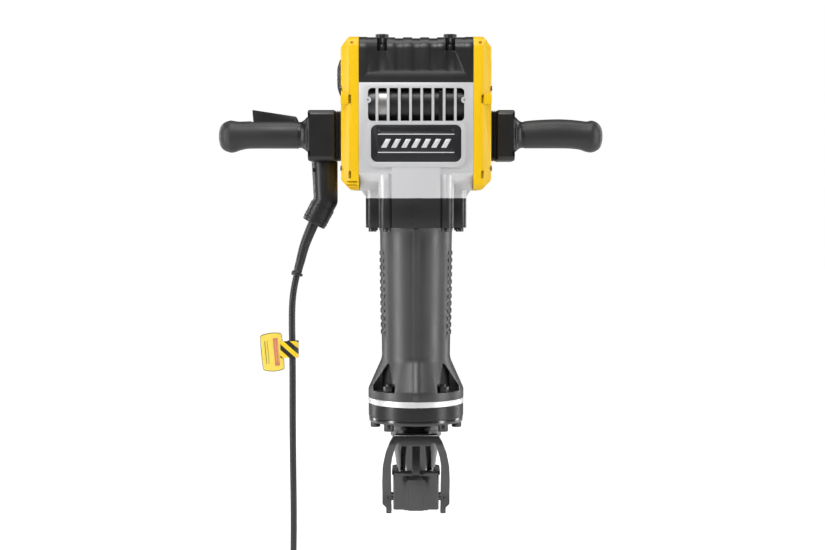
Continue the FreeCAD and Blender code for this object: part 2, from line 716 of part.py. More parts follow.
def crankshaft():
    z = CRANK_Z - CRANK_R
    shaft = joined(rod(13, (25, 0, CRANK_Z), (68, 0, CRANK_Z)), rod(9, (67, 0, CRANK_Z), (90, 0, CRANK_Z)))
    web = prism("yz", [(-13, z, 0), (0, z - 14, 10), (13, z, 0), (34, CRANK_Z + 6, 6), (22, CRANK_Z + 27, 10),
                       (-22, CRANK_Z + 27, 10), (-34, CRANK_Z + 6, 6)], 15, 27)
    pin = rod(9, (-7, 0, z), (16, 0, z))
    return joined(shaft, web, pin)


# ---- gears, motor and bearings ------------------------------------------------------------
def gear_blank(teeth, module, centre_z, x0, x1, tooth_down):
    """Spur gear about X. tooth_down puts a tooth at the bottom, otherwise a gap at the top."""
    pitch_r = teeth * module / 2
    base_r = pitch_r * math.cos(PRESSURE_ANGLE)
    tip_r = pitch_r + ADDENDUM * module
    root_r = pitch_r - DEDENDUM * module
    half_pitch = math.pi / (2 * teeth) - TOOTH_THINNING * module / pitch_r
    start_r = max(base_r, root_r)
    flank = [start_r + (tip_r - start_r) * k / 4 for k in range(5)]
    at_base = math.tan(PRESSURE_ANGLE) - PRESSURE_ANGLE
    profile = []
    for r in flank:
        roll = math.acos(min(1.0, base_r / r))
        profile.append((r, half_pitch + at_base - (math.tan(roll) - roll)))
    if root_r < base_r:
        profile.insert(0, (root_r, profile[0][1]))
    points = []
    first = math.pi if tooth_down else math.pi / teeth
    for k in range(teeth):
        middle = first + 2 * math.pi * k / teeth
        for r, half in profile:
            points.append((r * math.sin(middle - half), centre_z + r * math.cos(middle - half)))
        for r, half in reversed(profile):
            points.append((r * math.sin(middle + half), centre_z + r * math.cos(middle + half)))
    return prism("yz", points, x0, x1)


def rotor_shaft():
    module, teeth, _ = STAGE_1
    pinion = gear_blank(teeth, module, MOTOR_Z, 66, 82, True)
    shaft = joined(rod(SHAFT_R, (-113, 0, MOTOR_Z), (66, 0, MOTOR_Z)), rod(7.5, (47.5, 0, MOTOR_Z), (65, 0, MOTOR_Z)))
    return joined(shaft, pinion)


def rotor_core():
    core = tube(ROTOR_R, SHAFT_R, (-34, 0, MOTOR_Z), (18, 0, MOTOR_Z))
    slots = []
    for k in range(16):
        slot = box(-35, 19, -1.6, 1.6, ROTOR_R - 8, ROTOR_R + 1)
        slot.rotate(V(0, 0, 0), V(1, 0, 0), 22.5 * k)
        slot.translate(V(0, 0, MOTOR_Z))
        slots.append(slot)
    return less(core, *slots)


def rotor_windings():
    left = turned([(-44, 11), (-44, 23, 4), (-34.1, 26, 2), (-34.1, 11)], False, MOTOR_Z)
    right = turned([(18.1, 11), (18.1, 26, 2), (28, 23, 4), (28, 11)], False, MOTOR_Z)
    return [left, right]


def commutator():
    body = tube(17, SHAFT_R, (-66, 0, MOTOR_Z), (-45, 0, MOTOR_Z))
    slots = []
    for k in range(24):
        slot = box(-67, -47, -0.3, 0.3, 15.5, 18)
        slot.rotate(V(0, 0, 0), V(1, 0, 0), 15 * k)
        slot.translate(V(0, 0, MOTOR_Z))
        slots.append(slot)
    return less(body, *slots)


def fan():
    hub = turned([(-110, SHAFT_R), (-110, 13, 2), (-100, 16), (-97.5, 45), (-95, 45), (-95, SHAFT_R)], False, MOTOR_Z)
    blades = []
    for k in range(11):
        blade = box(-108, -96, -1.2, 1.2, 18, 44)
        blade.rotate(V(0, 0, 30), V(1, 0, 0), 25)
        blade.rotate(V(0, 0, 0), V(1, 0, 0), 360.0 * k / 11)
        blade.translate(V(0, 0, MOTOR_Z))
        blades.append(blade)
    return joined(hub, *blades)


def motor_stator():
    body = tube(STATOR_R, ROTOR_R + 0.8, (-36, 0, MOTOR_Z), (20, 0, MOTOR_Z))
    cuts = []
    for side in (-1, 1):
        arc = tube(42, ROTOR_R, (-37, 0, MOTOR_Z), (21, 0, MOTOR_Z))
        low, high = sorted((side * 12, side * 60))
        zone = box(-38, 22, -20, 20, MOTOR_Z + low, MOTOR_Z + high)
        cuts.append(arc.common(zone))
    return less(body, *cuts)


def field_windings():
    coils = []
    for side in (-1, 1):
        arc = tube(41.5, ROTOR_R + 1.2, (-44, 0, MOTOR_Z), (28, 0, MOTOR_Z))
        low, high = sorted((side * 14, side * 60))
        coils.append(arc.common(box(-45, 30, -19, 19, MOTOR_Z + low, MOTOR_Z + high)))
    return coils


def end_shield():
    """Cast shield that closes the motor's brush end and holds its left bearing."""
    shell = turned([(-80, 12.05), (-80, 34, 4), (-72, 52, 5), (-36.3, 52, 1), (-36.3, 47.5), (-66, 47.5, 3),
                    (-69, 40), (-69, 12.05)], False, MOTOR_Z)
    cuts = []
    for k in range(8):
        slot = box(-60, -46, -9, 9, 40, 60)
        slot.rotate(V(0, 0, 0), V(1, 0, 0), 45 * k)
        slot.translate(V(0, 0, MOTOR_Z))
        if k in (0, 4):
            cuts.append(slot)
    return less(shell, *cuts)


def brush_gear():
    """Two carbon brushes in their holders, above and below the commutator."""
    pieces = []
    for side in (-1, 1):
        near, far = MOTOR_Z + side * 17.1, MOTOR_Z + side * 34
        low, high = sorted((near, far))
        pieces.append(box(-60, -50, -4, 4, low, high))
        low, high = sorted((MOTOR_Z + side * 19.5, MOTOR_Z + side * 47))
        sleeve = box(-62.5, -47.5, -6.5, 6.5, low, high)
        low, high = sorted((MOTOR_Z + side * 15, MOTOR_Z + side * 44))
        pieces.append(sleeve.cut(box(-60.1, -49.9, -4.1, 4.1, low, high)))
    return pieces


def bearings():
    pieces = []
    for z, outer, x0, x1, inner in bearing_seats().values():
        r_out = outer - 0.1
        r_in = inner + RUN_FIT
        step = (r_out - r_in) * 0.34
        edge = 0.7
        profile = [(x0 + 0.1, r_in), (x0 + 0.1, r_in + step), (x0 + 0.1 + edge, r_in + step),
                   (x0 + 0.1 + edge, r_out - step), (x0 + 0.1, r_out - step), (x0 + 0.1, r_out),
                   (x1 - 0.1, r_out), (x1 - 0.1, r_in)]
        pieces.append(turned(profile, False, z))
    return pieces


def gear_plate():
    """Bearing plate between the motor and the gears."""
    corners = [(-87.7, 557.3, 0), (93.7, 557.3, 0), (93.7, 690, 12), (34, 700, 10), (24, 742, 20), (-24, 742, 20),
               (-34, 700, 10), (-87.7, 690, 12)]
    plate = prism("yz", corners, 36.5, 44)
    seats = bearing_seats()
    bosses = [rod(27, (29, 0, CRANK_Z), (37, 0, CRANK_Z)), rod(18, (43, 0, MOTOR_Z), (46.5, 0, MOTOR_Z))]
    bores = []
    for name in ("motor_right", "second_left", "crank_left"):
        z, outer, _, _, _ = seats[name]
        bores.append(rod(outer, (20, 0, z), (60, 0, z)))
    return less(joined(plate, *bosses), *bores)


def intermediate_gear():
    module, _, teeth = STAGE_1
    wheel = gear_blank(teeth, module, SHAFT_2_Z, 68, 80, False)
    cuts = [rod(8.0, (60, 0, SHAFT_2_Z), (90, 0, SHAFT_2_Z))]
    for x0, x1 in ((67, 71), (77, 81)):
        cuts.append(tube(29, 14, (x0, 0, SHAFT_2_Z), (x1, 0, SHAFT_2_Z)))
    return less(wheel, *cuts)


def intermediate_shaft():
    module, teeth, _ = STAGE_2
    pinion = gear_blank(teeth, module, SHAFT_2_Z, 46, 65, True)
    shaft = joined(rod(6, (37, 0, SHAFT_2_Z), (90, 0, SHAFT_2_Z)), rod(8.0, (64, 0, SHAFT_2_Z), (82, 0, SHAFT_2_Z)))
    return joined(pinion, shaft)


def crank_gear():
    module, _, teeth = STAGE_2
    wheel = gear_blank(teeth, module, CRANK_Z, 47, 63.5, False)
    cuts = [rod(13.0, (40, 0, CRANK_Z), (70, 0, CRANK_Z))]
    for x0, x1 in ((46, 51), (59.5, 65)):
        cuts.append(tube(42, 21, (x0, 0, CRANK_Z), (x1, 0, CRANK_Z)))
    return less(wheel, *cuts)


# ---- handles ---------------------------------------------------------------------------------
def handle_bracket(side):
    """Bracket on the head with a vertical guide pin that the handle block slides on."""
    x = GUIDE_PIN_X
    plate = box(121.4, 127, -27, 27, 592, 654)
    ears = [box(126, x + 8, -11, 11, z, z + 5.4) for z in (594.6, 646)]
    pin = rod(5.0, (x, 0, 594), (x, 0, 651))
    body = joined(plate, pin, *ears)
    holes = [rod(3.8, (110, y, z), (130, y, z)) for y in (-22, 22) for z in (606, 640)]
    body = less(body, *holes)
    return body if side > 0 else mirrored(body)


def handle_block(side, outer_x):
    """Hollow block with a sleeve on the guide pin; open towards the head."""
    x = GUIDE_PIN_X
    low, high = BLOCK_Z
    shape = prism("yz", [(-BLOCK_HALF_Y, low, 9), (BLOCK_HALF_Y, low, 9), (BLOCK_HALF_Y, high, 9),
                         (-BLOCK_HALF_Y, high, 9)], BLOCK_INNER, outer_x)
    cavity = prism("yz", [(-34, low + 6, 5), (34, low + 6, 5), (34, high - 6, 5), (-34, high - 6, 5)],
                   BLOCK_INNER - 3, outer_x - 4.5)
    web = box(x, outer_x - 1, -5, 5, 615, 631)
    sleeve = rod(9.5, (x, 0, 615), (x, 0, 631))
    body = joined(shape.cut(cavity), web, sleeve)
    cuts = [rod(5.0 + RUN_FIT, (x, 0, 600), (x, 0, 645))]
    for y0, y1 in ((-41, -32.5), (32.5, 41)):
        for z in (low + 12, high - 9.5):
            cuts.append(box(outer_x - 4, outer_x + 1, y0, y1, z - 4.5, z + 4.5))
            cuts.append(rod(2.5, (outer_x - 12, (y0 + y1) / 2, z), (outer_x + 2, (y0 + y1) / 2, z)))
    body = less(body, *cuts)
    return body if side > 0 else mirrored(body)


def grip(side, inner_x, tip_x):
    """Hand grip with a flared neck and a slightly dropped end knob."""
    r = GRIP_R
    knob_x = tip_x - 27
    profile = [(inner_x + 0.1, 0.01), (inner_x + 0.1, 27, 2), (inner_x + 6, 22.4, 4), (inner_x + 20, r, 30),
               (inner_x + 75, r - 0.7, 200), (knob_x, r, 30), (knob_x + 10, 20, 6), (knob_x + 10, 0.01)]
    body = turned(profile, False, GRIP_Z)
    knob = Part.makeSphere(27, V(knob_x, 0, GRIP_Z - 3.2))
    swell = cone(r - 1.5, 26.2, (knob_x - 26, 0, GRIP_Z - 0.5), (knob_x - 6, 0, GRIP_Z - 3.0))
    body = joined(body, knob, swell)
    return body if side > 0 else mirrored(body)


def left_grip():
    body = grip(-1, LEFT_BLOCK_OUTER, LEFT_GRIP_TIP)
    cuts = [box(-275, -193.5, -9.6, 9.6, 628, 660), box(-262, -211, -8.6, 8.6, 612, 629),
            rod(2.5 + RUN_FIT, (-199, -14, 643), (-199, 14, 643))]
    return less(body, *cuts)


def switch_lever():
    shape = prism("xz", [(-271, 664, 1), (-199, 653, 2), (-195.5, 646, 3), (-197, 639.5, 2), (-269, 640, 1)], -9, 9)
    pins = rod(2.5, (-199, -13.5, 643), (-199, 13.5, 643))
    return joined(shape, pins)


def handle_switch():
    body = box(-261, -212, -8, 8, 612.5, 627)
    plunger = rod(3, (-244, 0, 626), (-244, 0, 630))
    return joined(body, plunger)


def bellows(side):
    """Rubber boot between the head and the handle block, with two folds."""
    x0, x1 = 121.6, BLOCK_INNER - 0.6
    low, high = BLOCK_Z
    half = BLOCK_HALF_Y - 3
    pieces = [prism("yz", rounded_rect(half, low + 4, high - 4, 8), x0, x1)]
    for x in (x0, x0 + 3.7, x0 + 7.4):
        pieces.append(prism("yz", rounded_rect(half + 3, low + 0.6, high - 0.6, 9), x, x + 3.0))
    inside = prism("yz", rounded_rect(half - 3, low + 7, high - 7, 6), x0 - 1, x1 + 1)
    body = joined(*pieces).cut(inside)
    return body if side > 0 else mirrored(body)


def spring(x, low, high):
    """Machined spring about a guide pin: a tube slotted from alternate sides."""
    slots = 4
    pitch = (high - low) / slots
    cuts = []
    for k in range(slots):
        z = low + pitch * (k + 0.5)
        side = 1 if k % 2 else -1
        y0, y1 = sorted((side * 10, -side * 4))
        cuts.append(box(x - 10, x + 10, y0, y1, z - 0.8, z + 0.8))
    return less(tube(8.6, 5.6, (x, 0, low), (x, 0, high)), *cuts)


def springs(side):
    x = side * GUIDE_PIN_X
    return [spring(x, 600.1, 614.9), spring(x, 631.1, 645.9)]


# ---- mains lead -------------------------------------------------------------------------------
OUTLET_TOP = (-151.9, 0.0, BLOCK_Z[0] - 0.7)
OUTLET_BEND = (-150.2, 0.0, 514.5)
OUTLET_END = (-170.8, 0.0, 475.7)
RELIEF_BENDS = ((-183.6, 0.0, 451.5), (-192.5, 0.0, 414.0))


def cord_outlet():
    """Bent tube under the left block that carries the mains lead to the switch."""
    upper = cone(21.6, 19.8, OUTLET_TOP, OUTLET_BEND)
    knee = Part.makeSphere(19.8, V(*OUTLET_BEND))
    lower = cone(19.8, 18.9, OUTLET_BEND, OUTLET_END)
    direction = (V(*OUTLET_END) - V(*OUTLET_BEND)).normalize()
    mouth = V(*OUTLET_END) - direction * 16
    body = joined(upper, knee, lower)
    socket = Part.makeCylinder(9.3, 20, mouth, direction)
    screw = rod(3.6, (-168.5, -30, 565), (-168.5, -8, 565))
    return less(body, socket, screw)


def strain_relief():
    """Tapered rubber sleeve from the outlet's mouth to the start of the free lead."""
    direction = (V(*OUTLET_END) - V(*OUTLET_BEND)).normalize()
    start = tuple(V(*OUTLET_END) - direction * 14)
    end = V(*CORD_ROUTE[0])
    last = (end - V(*RELIEF_BENDS[1])).normalize()
    pieces = [
        cone(9.0, 8.5, start, RELIEF_BENDS[0]),
        Part.makeSphere(8.5, V(*RELIEF_BENDS[0])),
        cone(8.5, 7.6, *RELIEF_BENDS),
        Part.makeSphere(7.6, V(*RELIEF_BENDS[1])),
        cone(7.6, 7.0, RELIEF_BENDS[1], tuple(end - last * 5)),
        rod(9.6, tuple(end - last * 6), tuple(end)),
    ]
    return joined(*pieces)


def tube_along(route, radius):
    """Round tube along straight runs joined by tangent arcs; prints each arc's radius."""
    points = [V(*p) for p in route]
    edges = []
    start = points[0]
    for i in range(1, len(points) - 1):
        back = points[i - 1] - points[i]
        ahead = points[i + 1] - points[i]
        reach = 0.45 * min(back.Length, ahead.Length)
        half_turn = (math.pi - back.getAngle(ahead)) / 2
        bend = reach / math.tan(half_turn)
        print("lead bend %d: radius %.0f mm" % (i, bend))
        back.normalize()
        ahead.normalize()
        a = points[i] + back * reach
        b = points[i] + ahead * reach
        middle = (back + ahead).normalize()
        depth = bend / math.cos(half_turn) - bend
        edges.append(Part.LineSegment(start, a).toShape())
        edges.append(Part.Arc(a, points[i] + middle * depth, b).toShape())
        start = b
    edges.append(Part.LineSegment(start, points[-1]).toShape())
    length = sum(edge.Length for edge in edges)
    path = Part.Wire(edges)
    circle = Part.Wire(Part.makeCircle(radius, points[0], points[1] - points[0]))
    body = path.makePipeShell([circle], True, False)
    print("lead tube: length %.0f mm, volume ratio %.4f" % (length, body.Volume / (math.pi * radius ** 2 * length)))
    return body


def cord_coil():
    """Outer shape of the neat coil that the rest of the lead is wound into."""
    cx, cy = COIL_CENTRE
    low = GROUND_Z + 0.1
    high = low + 4 * CORD_R
    inner = COIL_MID_R - COIL_TURNS_WIDE * CORD_R
    outer = COIL_MID_R + COIL_TURNS_WIDE * CORD_R
    face = Part.Face(outline("xz", [(inner, low, 4), (outer, low, 4), (outer, high, 4), (inner, high, 4)], 0))
    body = face.revolve(V(0, 0, 0), V(0, 0, 1), 360)
    body.translate(V(cx, cy, 0))
    return body


OUTER_TURN_R = COIL_MID_R + (COIL_TURNS_WIDE - 1) * CORD_R
TAIL_START = (COIL_CENTRE[0] + 12, COIL_CENTRE[1] - OUTER_TURN_R, GROUND_Z + 0.1 + 3 * CORD_R)
PLUG_REAR = (-56.0, -35.0, GROUND_Z + 17.6)


def plug():
    """Two-part plug body with its pins, lying beside the coil."""
    x, y, z = PLUG_REAR
    boot = cone(7.5, 11.0, (x, y, z), (x + 18, y, z))
    body = turned([(x + 17, 0.01), (x + 17, 11), (x + 22, 16.5, 3), (x + 46, 17.5, 3), (x + 50, 16, 1),
                   (x + 50, 0.01)], False, 0)
    body.translate(V(0, y, z))
    pins = [box(x + 49, x + 68, y + s * 6.3 - 0.8, y + s * 6.3 + 0.8, z - 3.2, z + 3.2) for s in (-1, 1)]
    earth = rod(2.4, (x + 49, y, z + 9), (x + 70, y, z + 9))
    return joined(boot, body, earth, *pins)


def cord_tag():
    """Folded plastic tag held to the lead by a strap."""
    panel = prism("xz", [(-255, 232, 7), (-219.8, 233.5, 7), (-224.6, 292, 7), (-259.9, 288, 7)], -9.4, -8.2)
    strap = tube(9.4, 8.2, (-206, 0, 251.5), (-206, 0, 280))
    bridge = box(-226, -206, -9.4, -8.2, 251.5, 280)
    return joined(panel, strap, bridge)


# ---- build ---------------------------------------------------------------------------------------
def build():
    os.makedirs("parts", exist_ok=True)
    export("upper_housing", upper_housing())
    export("top_cover", top_cover())
    export("left_side_cover", side_cover(-1))
    export("right_side_cover", side_cover(1))
    export("small_screws", *small_screws())
    export("cap_screws", *cap_screws())
    export("vent_cap", vent_cap())
    export("nameplate", nameplate())
    export("collar", collar())
    export("barrel", barrel())
    export("cylinder_liner", cylinder_liner())
    export("nose_bolts", *nose_bolts())
    export("spacer_ring", ring(FLANGE_R, 30, RING_BOTTOM + 0.1, RING_TOP, 0.6))
    export("nose_flange", ring(FLANGE_R - 0.3, 30, PLATE_TOP, RING_BOTTOM, 1.5))
    export("nose", nose())
    export("tool_sleeve", tool_sleeve())
    export("motor_stator", motor_stator())
    export("field_windings", *field_windings())
    export("end_shield", end_shield())
    export("brush_gear", *brush_gear())
    export("bearings", *bearings())
    export("gear_plate", gear_plate())
    export("roller_guide", roller_guide())
    export("beat_bush", beat_bush())
    export("buffer_ring", buffer_ring())
    export("handle_brackets", handle_bracket(-1), handle_bracket(1))
    export("left_bellows", bellows(-1))
    export("right_bellows", bellows(1))
    export("left_springs", *springs(-1))
    export("right_springs", *springs(1))
    export("rotor_core", rotor_core())
    export("rotor_windings", *rotor_windings())
    export("commutator", commutator())
    export("rotor_shaft", rotor_shaft())
    export("fan", fan())
    export("intermediate_gear", intermediate_gear())
    export("intermediate_shaft", intermediate_shaft())
    export("crank_gear", crank_gear())
    export("crankshaft", crankshaft())
    export("slider_block", slider_block())
    export("guide_roller", guide_roller())
    export("yoke_rod", yoke_rod())
    export("wrist_pin", wrist_pin())
    export("piston", piston())
    export("ram", ram())
    export("beat_piece", beat_piece())
    export("latch", latch())
    export("latch_pins", *latch_pins())
    export("left_handle_block", handle_block(-1, LEFT_BLOCK_OUTER))
    export("right_handle_block", handle_block(1, RIGHT_BLOCK_OUTER))
    export("left_grip", left_grip())
    export("right_grip", grip(1, RIGHT_BLOCK_OUTER, RIGHT_GRIP_TIP))
    export("switch_lever", switch_lever())
    export("handle_switch", handle_switch())
    export("cord_outlet", cord_outlet())
    export("strain_relief", strain_relief())
    export("cord", tube_along(CORD_ROUTE, CORD_R), rod(CORD_R, TAIL_START, PLUG_REAR))
    export("cord_coil", cord_coil())
    export("plug", plug())
    export("cord_tag", cord_tag())


build()
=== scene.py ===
import json
import math

import bmesh
import bpy
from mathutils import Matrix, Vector


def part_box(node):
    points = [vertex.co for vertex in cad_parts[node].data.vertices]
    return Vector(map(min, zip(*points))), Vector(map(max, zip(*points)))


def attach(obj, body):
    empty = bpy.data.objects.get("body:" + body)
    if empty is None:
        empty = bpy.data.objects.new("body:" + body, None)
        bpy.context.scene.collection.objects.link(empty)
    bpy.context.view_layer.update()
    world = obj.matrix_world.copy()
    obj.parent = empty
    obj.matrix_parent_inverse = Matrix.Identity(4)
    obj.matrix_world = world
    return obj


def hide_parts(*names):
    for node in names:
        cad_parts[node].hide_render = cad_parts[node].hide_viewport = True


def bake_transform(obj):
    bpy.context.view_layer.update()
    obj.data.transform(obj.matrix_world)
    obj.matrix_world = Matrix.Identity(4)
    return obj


# Looks of the upright electric demolition hammer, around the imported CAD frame.
# Metres, same frame as the CAD: origin at the tool socket's mouth, +Z up, -Y the front.

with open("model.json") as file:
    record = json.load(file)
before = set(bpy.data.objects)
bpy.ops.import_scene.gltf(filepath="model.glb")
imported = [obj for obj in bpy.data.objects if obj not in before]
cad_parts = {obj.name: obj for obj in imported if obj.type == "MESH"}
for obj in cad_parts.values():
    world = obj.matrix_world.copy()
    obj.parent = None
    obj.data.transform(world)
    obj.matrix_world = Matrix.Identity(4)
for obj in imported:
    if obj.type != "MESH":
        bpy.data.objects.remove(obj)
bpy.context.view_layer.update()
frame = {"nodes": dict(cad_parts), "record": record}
NODES = frame["nodes"]
BODY_OF = {n: b for b, ns in frame["record"]["behaviour"]["bodies"].items() for n in ns}
SLOT_OF = {p["node"]: p["material_slot"] for p in frame["record"]["subparts"]}

# ---- camera, light and floor -----------------------------------------------------------------
GROUND_Z = -0.300
VIEW_X = -0.0058
VIEW_DISTANCE = 2.47
VIEW_HEIGHT = 0.518
VIEW_DOWN = 2.97            # degrees below level
LENS_MM = 64.6
SENSOR_MM = 36.0
FLOOR_HALF = 14.0
WORLD_LIGHT = 0.13          # light of the surroundings on the object
FLOOR_GLOW = 0.10           # glow of the floor on the object
FLOOR_SEEN = 0.97           # glow of the floor as the camera sees it

# ---- rounded edges of the nodes that keep their CAD shape ------------------------------------
# width of the rounding, by node
SOFTENED = {
    "upper_housing": 0.0014, "top_cover": 0.0010, "left_side_cover": 0.0012, "right_side_cover": 0.0012,
    "collar": 0.0010, "barrel": 0.0008, "nose": 0.0014, "switch_lever": 0.0010, "vent_cap": 0.0006,
    "nameplate": 0.0003, "cap_screws": 0.0005, "nose_bolts": 0.0006, "cord_outlet": 0.0008,
}
SOFTENED_ANGLE = 32.0       # edges sharper than this are rounded, in degrees
# regions (low corner, high corner) of a node whose thin walls keep their sharp edges
LEFT_SHARP = {"upper_housing": ((-0.079, -0.100, 0.638), (0.079, -0.060, 0.697))}
BLOCK_EDGE = 0.0028
BLOCK_RIM_DEPTH = 0.0045    # how far in from a block's sides its rims are looked for
LATCH_EDGE = 0.0012
LATCH_ANGLE = 50.0          # the edges that are rounded are sharper than this, in degrees,
LATCH_SHORTEST = 0.0016     # longer than this
LATCH_LOWEST = 0.004        # and higher up than this

# ---- handles ---------------------------------------------------------------------------------
HANDLE_Z = 0.6225
# distance in from the tip, rise of the top and drop of the bottom from the grip's centre line, half depth
GRIP_TIP = [(0.0004, 0.004, 0.008, 0.004), (0.003, 0.0135, 0.0185, 0.0125), (0.009, 0.0205, 0.0252, 0.019)]
GRIP_STATIONS = {
    "left": GRIP_TIP + [
        (0.019, 0.0243, 0.0288, 0.0232), (0.026, 0.0236, 0.0283, 0.0232), (0.034, 0.0226, 0.0255, 0.0222),
        (0.046, 0.0229, 0.0228, 0.0215), (0.062, 0.0234, 0.0222, 0.0215), (0.100, 0.0236, 0.0222, 0.0218),
        (0.132, 0.0234, 0.0222, 0.0216)],
    "right": GRIP_TIP + [
        (0.018, 0.0242, 0.0286, 0.0232), (0.027, 0.0228, 0.0276, 0.0230), (0.038, 0.0240, 0.0240, 0.0222),
        (0.055, 0.0256, 0.0222, 0.0218), (0.078, 0.0264, 0.0218, 0.0222), (0.110, 0.0252, 0.0218, 0.0220),
        (0.132, 0.0232, 0.0217, 0.0214)],
}
NECK_STATIONS = [
    (0.1316, 0.0222, 0.0212, 0.0206), (0.1345, 0.0220, 0.0211, 0.0205), (0.138, 0.0226, 0.0216, 0.0210),
    (0.1425, 0.0258, 0.0242, 0.0236), (0.1462, 0.0296, 0.0275, 0.0270), (0.1495, 0.0302, 0.0281, 0.0276)]
GRIP_LENGTH = NECK_STATIONS[-1][0]
GRIP_TIP_LENGTH = 0.05      # the tip keeps its length, the rest is fitted to the block
GRIP_SQUARENESS = 2.4       # 2 is an ellipse
# opening in the left sleeve for the switch lever
WELL_LOW = (-0.2735, -0.0098, 0.6395)
WELL_HIGH = (-0.1945, 0.0098, 0.6600)
FOLDS = 3
FOLD_DEPTH = 0.0032
BOOT_CORNER = 0.009
SPRING_WIRE = 0.0013        # radius
SPRING_RADIUS = 0.0071
SPRING_TURNS = 4
SPRING_CLOSED = 0.6         # flat turns at each end
SLEEVE_LOW = 0.6149         # ends of the block's sleeve, which the springs press on
SLEEVE_HIGH = 0.6311
OUTLET_TOP = Vector((-0.1502, 0, 0.5145))
OUTLET_MOUTH = Vector((-0.1708, 0, 0.4757))

# ---- nameplate and grille --------------------------------------------------------------------
BADGE_HALF = 0.0610
BADGE_LINES = (0.620, 0.591)
BADGE_BARS = 7
BADGE_ROW_HALF = 0.048
BADGE_BAR_LOW = 0.5985
BADGE_BAR_HIGH = 0.6125
BADGE_SLANT = 0.55
BAFFLE_Y = 0.006            # centre line of the motor's air baffle
BAFFLE_Z = 0.672
BAFFLE_INNER = 0.0900
BAFFLE_FLATNESS = 0.62
BAFFLE_SPREAD = 32.0        # degrees above and below the middle

# ---- tag and tie -----------------------------------------------------------------------------
TAG_CORNERS = [(-0.2550, 0.2320), (-0.2198, 0.2335), (-0.2246, 0.2920), (-0.2599, 0.2880)]
TAG_THICKNESS = 0.0005
TAG_ARCH = 0.0026
TAG_BORDER = 0.0012
TAG_CURL = 0.0012
STRAP_X = -0.2060
STRAP_RADIUS = 0.0092
STRAP_LOW = 0.2518
STRAP_HIGH = 0.2798
TIE_ANGLE = 70.0            # place of the tie round the coil, in degrees
TIE_HALF_WIDTH = 0.009

# ---- mains lead: the same points as the CAD route --------------------------------------------
CORD_DIAMETER = 0.011
CORD_ROUTE = [
    (-0.1995, 0.0, 0.388),
    (-0.2050, 0.0, 0.366),
    (-0.2080, 0.0005, 0.326),
    (-0.2066, 0.0, 0.250),
    (-0.2072, 0.001, 0.120),
    (-0.2056, 0.0, -0.010),
    (-0.2070, 0.002, -0.100),
    (-0.2060, 0.001, -0.150),
    (-0.2072, 0.0005, -0.198),
    (-0.2055, 0.0, -0.2414),
    (-0.1968, -0.008, -0.2655),
    (-0.1784, -0.019, -0.2839),
    (-0.1543, -0.028, -0.2930),
]
COIL_CENTRE = (-0.110, 0.040)
COIL_INNER_R = 0.0495
COIL_OUTER_R = 0.0715
COIL_TURNS = 4
COIL_PER_TURN = 16          # control points in a turn
COIL_CLIMB_START = 1.8      # turns at which the lead climbs to the upper layer
COIL_CLIMB_END = 2.2
COIL_LOW = GROUND_Z + 0.0060
COIL_HIGH = COIL_LOW + CORD_DIAMETER + 0.0002
PLUG_REAR = (-0.056, -0.035, -0.2824)


# ---- mesh helpers ----------------------------------------------------------------------------
WELD = 0.00001              # points closer than this are merged


def add_object(name, mesh):
    obj = bpy.data.objects.new(name, mesh)
    bpy.context.scene.collection.objects.link(obj)
    return obj


def mesh_from(name, bm):
    bmesh.ops.recalc_face_normals(bm, faces=bm.faces)
    mesh = bpy.data.meshes.new(name)
    bm.to_mesh(mesh)
    bm.free()
    return mesh


def apply_modifiers(obj):
    """Replaces an object's mesh by the result of its modifiers."""
    graph = bpy.context.evaluated_depsgraph_get()
    mesh = bpy.data.meshes.new_from_object(obj.evaluated_get(graph))
    obj.modifiers.clear()
    obj.data = mesh


def smooth_by_angle(obj, degrees):
    """Smooth shading, with edges sharper than the angle left hard."""
    mesh = obj.data
    mesh.polygons.foreach_set("use_smooth", [True] * len(mesh.polygons))
    bm = bmesh.new()
    bm.from_mesh(mesh)
    limit = math.radians(degrees)
    for edge in bm.edges:
        edge.smooth = len(edge.link_faces) == 2 and edge.calc_face_angle(0.0) < limit
    bm.to_mesh(mesh)
    bm.free()


def finish_piece(obj, body, material, nodes=(), angle=35.0):
    """Shades a piece, gives it its material, and lets it ride on a body."""
    smooth_by_angle(obj, angle)
    obj.data.materials.clear()
    obj.data.materials.append(MATERIALS[material])
    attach(obj, body)
    if nodes:
        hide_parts(*nodes)


def finish_as_node(obj, node):
    """Finishes a piece that stands for one CAD node."""
    finish_piece(obj, BODY_OF[node], SLOT_OF[node], (node,))


def copy_of_node(node):
    """Welded copy of a CAD node's mesh, with its flat areas merged into single faces."""
    bm = bmesh.new()
    bm.from_mesh(NODES[node].data)
    bmesh.ops.remove_doubles(bm, verts=bm.verts, dist=2e-6)
    bmesh.ops.dissolve_limit(bm, angle_limit=math.radians(0.6), verts=bm.verts, edges=bm.edges)
    return mesh_from(node + "_look", bm)


def make_softened(node, width):
    """Stands for a CAD node with its hard edges rounded over."""
    obj = add_object(node + "_look", copy_of_node(node))
    weigh_edges(obj.data, SOFTENED_ANGLE, LEFT_SHARP.get(node))
    bevel = obj.modifiers.new("edges", "BEVEL")
    bevel.width = width
    bevel.segments = 2
    bevel.limit_method = "WEIGHT"
    bevel.use_clamp_overlap = True
    bevel.miter_outer = "MITER_ARC"
    apply_modifiers(obj)
    finish_as_node(obj, node)


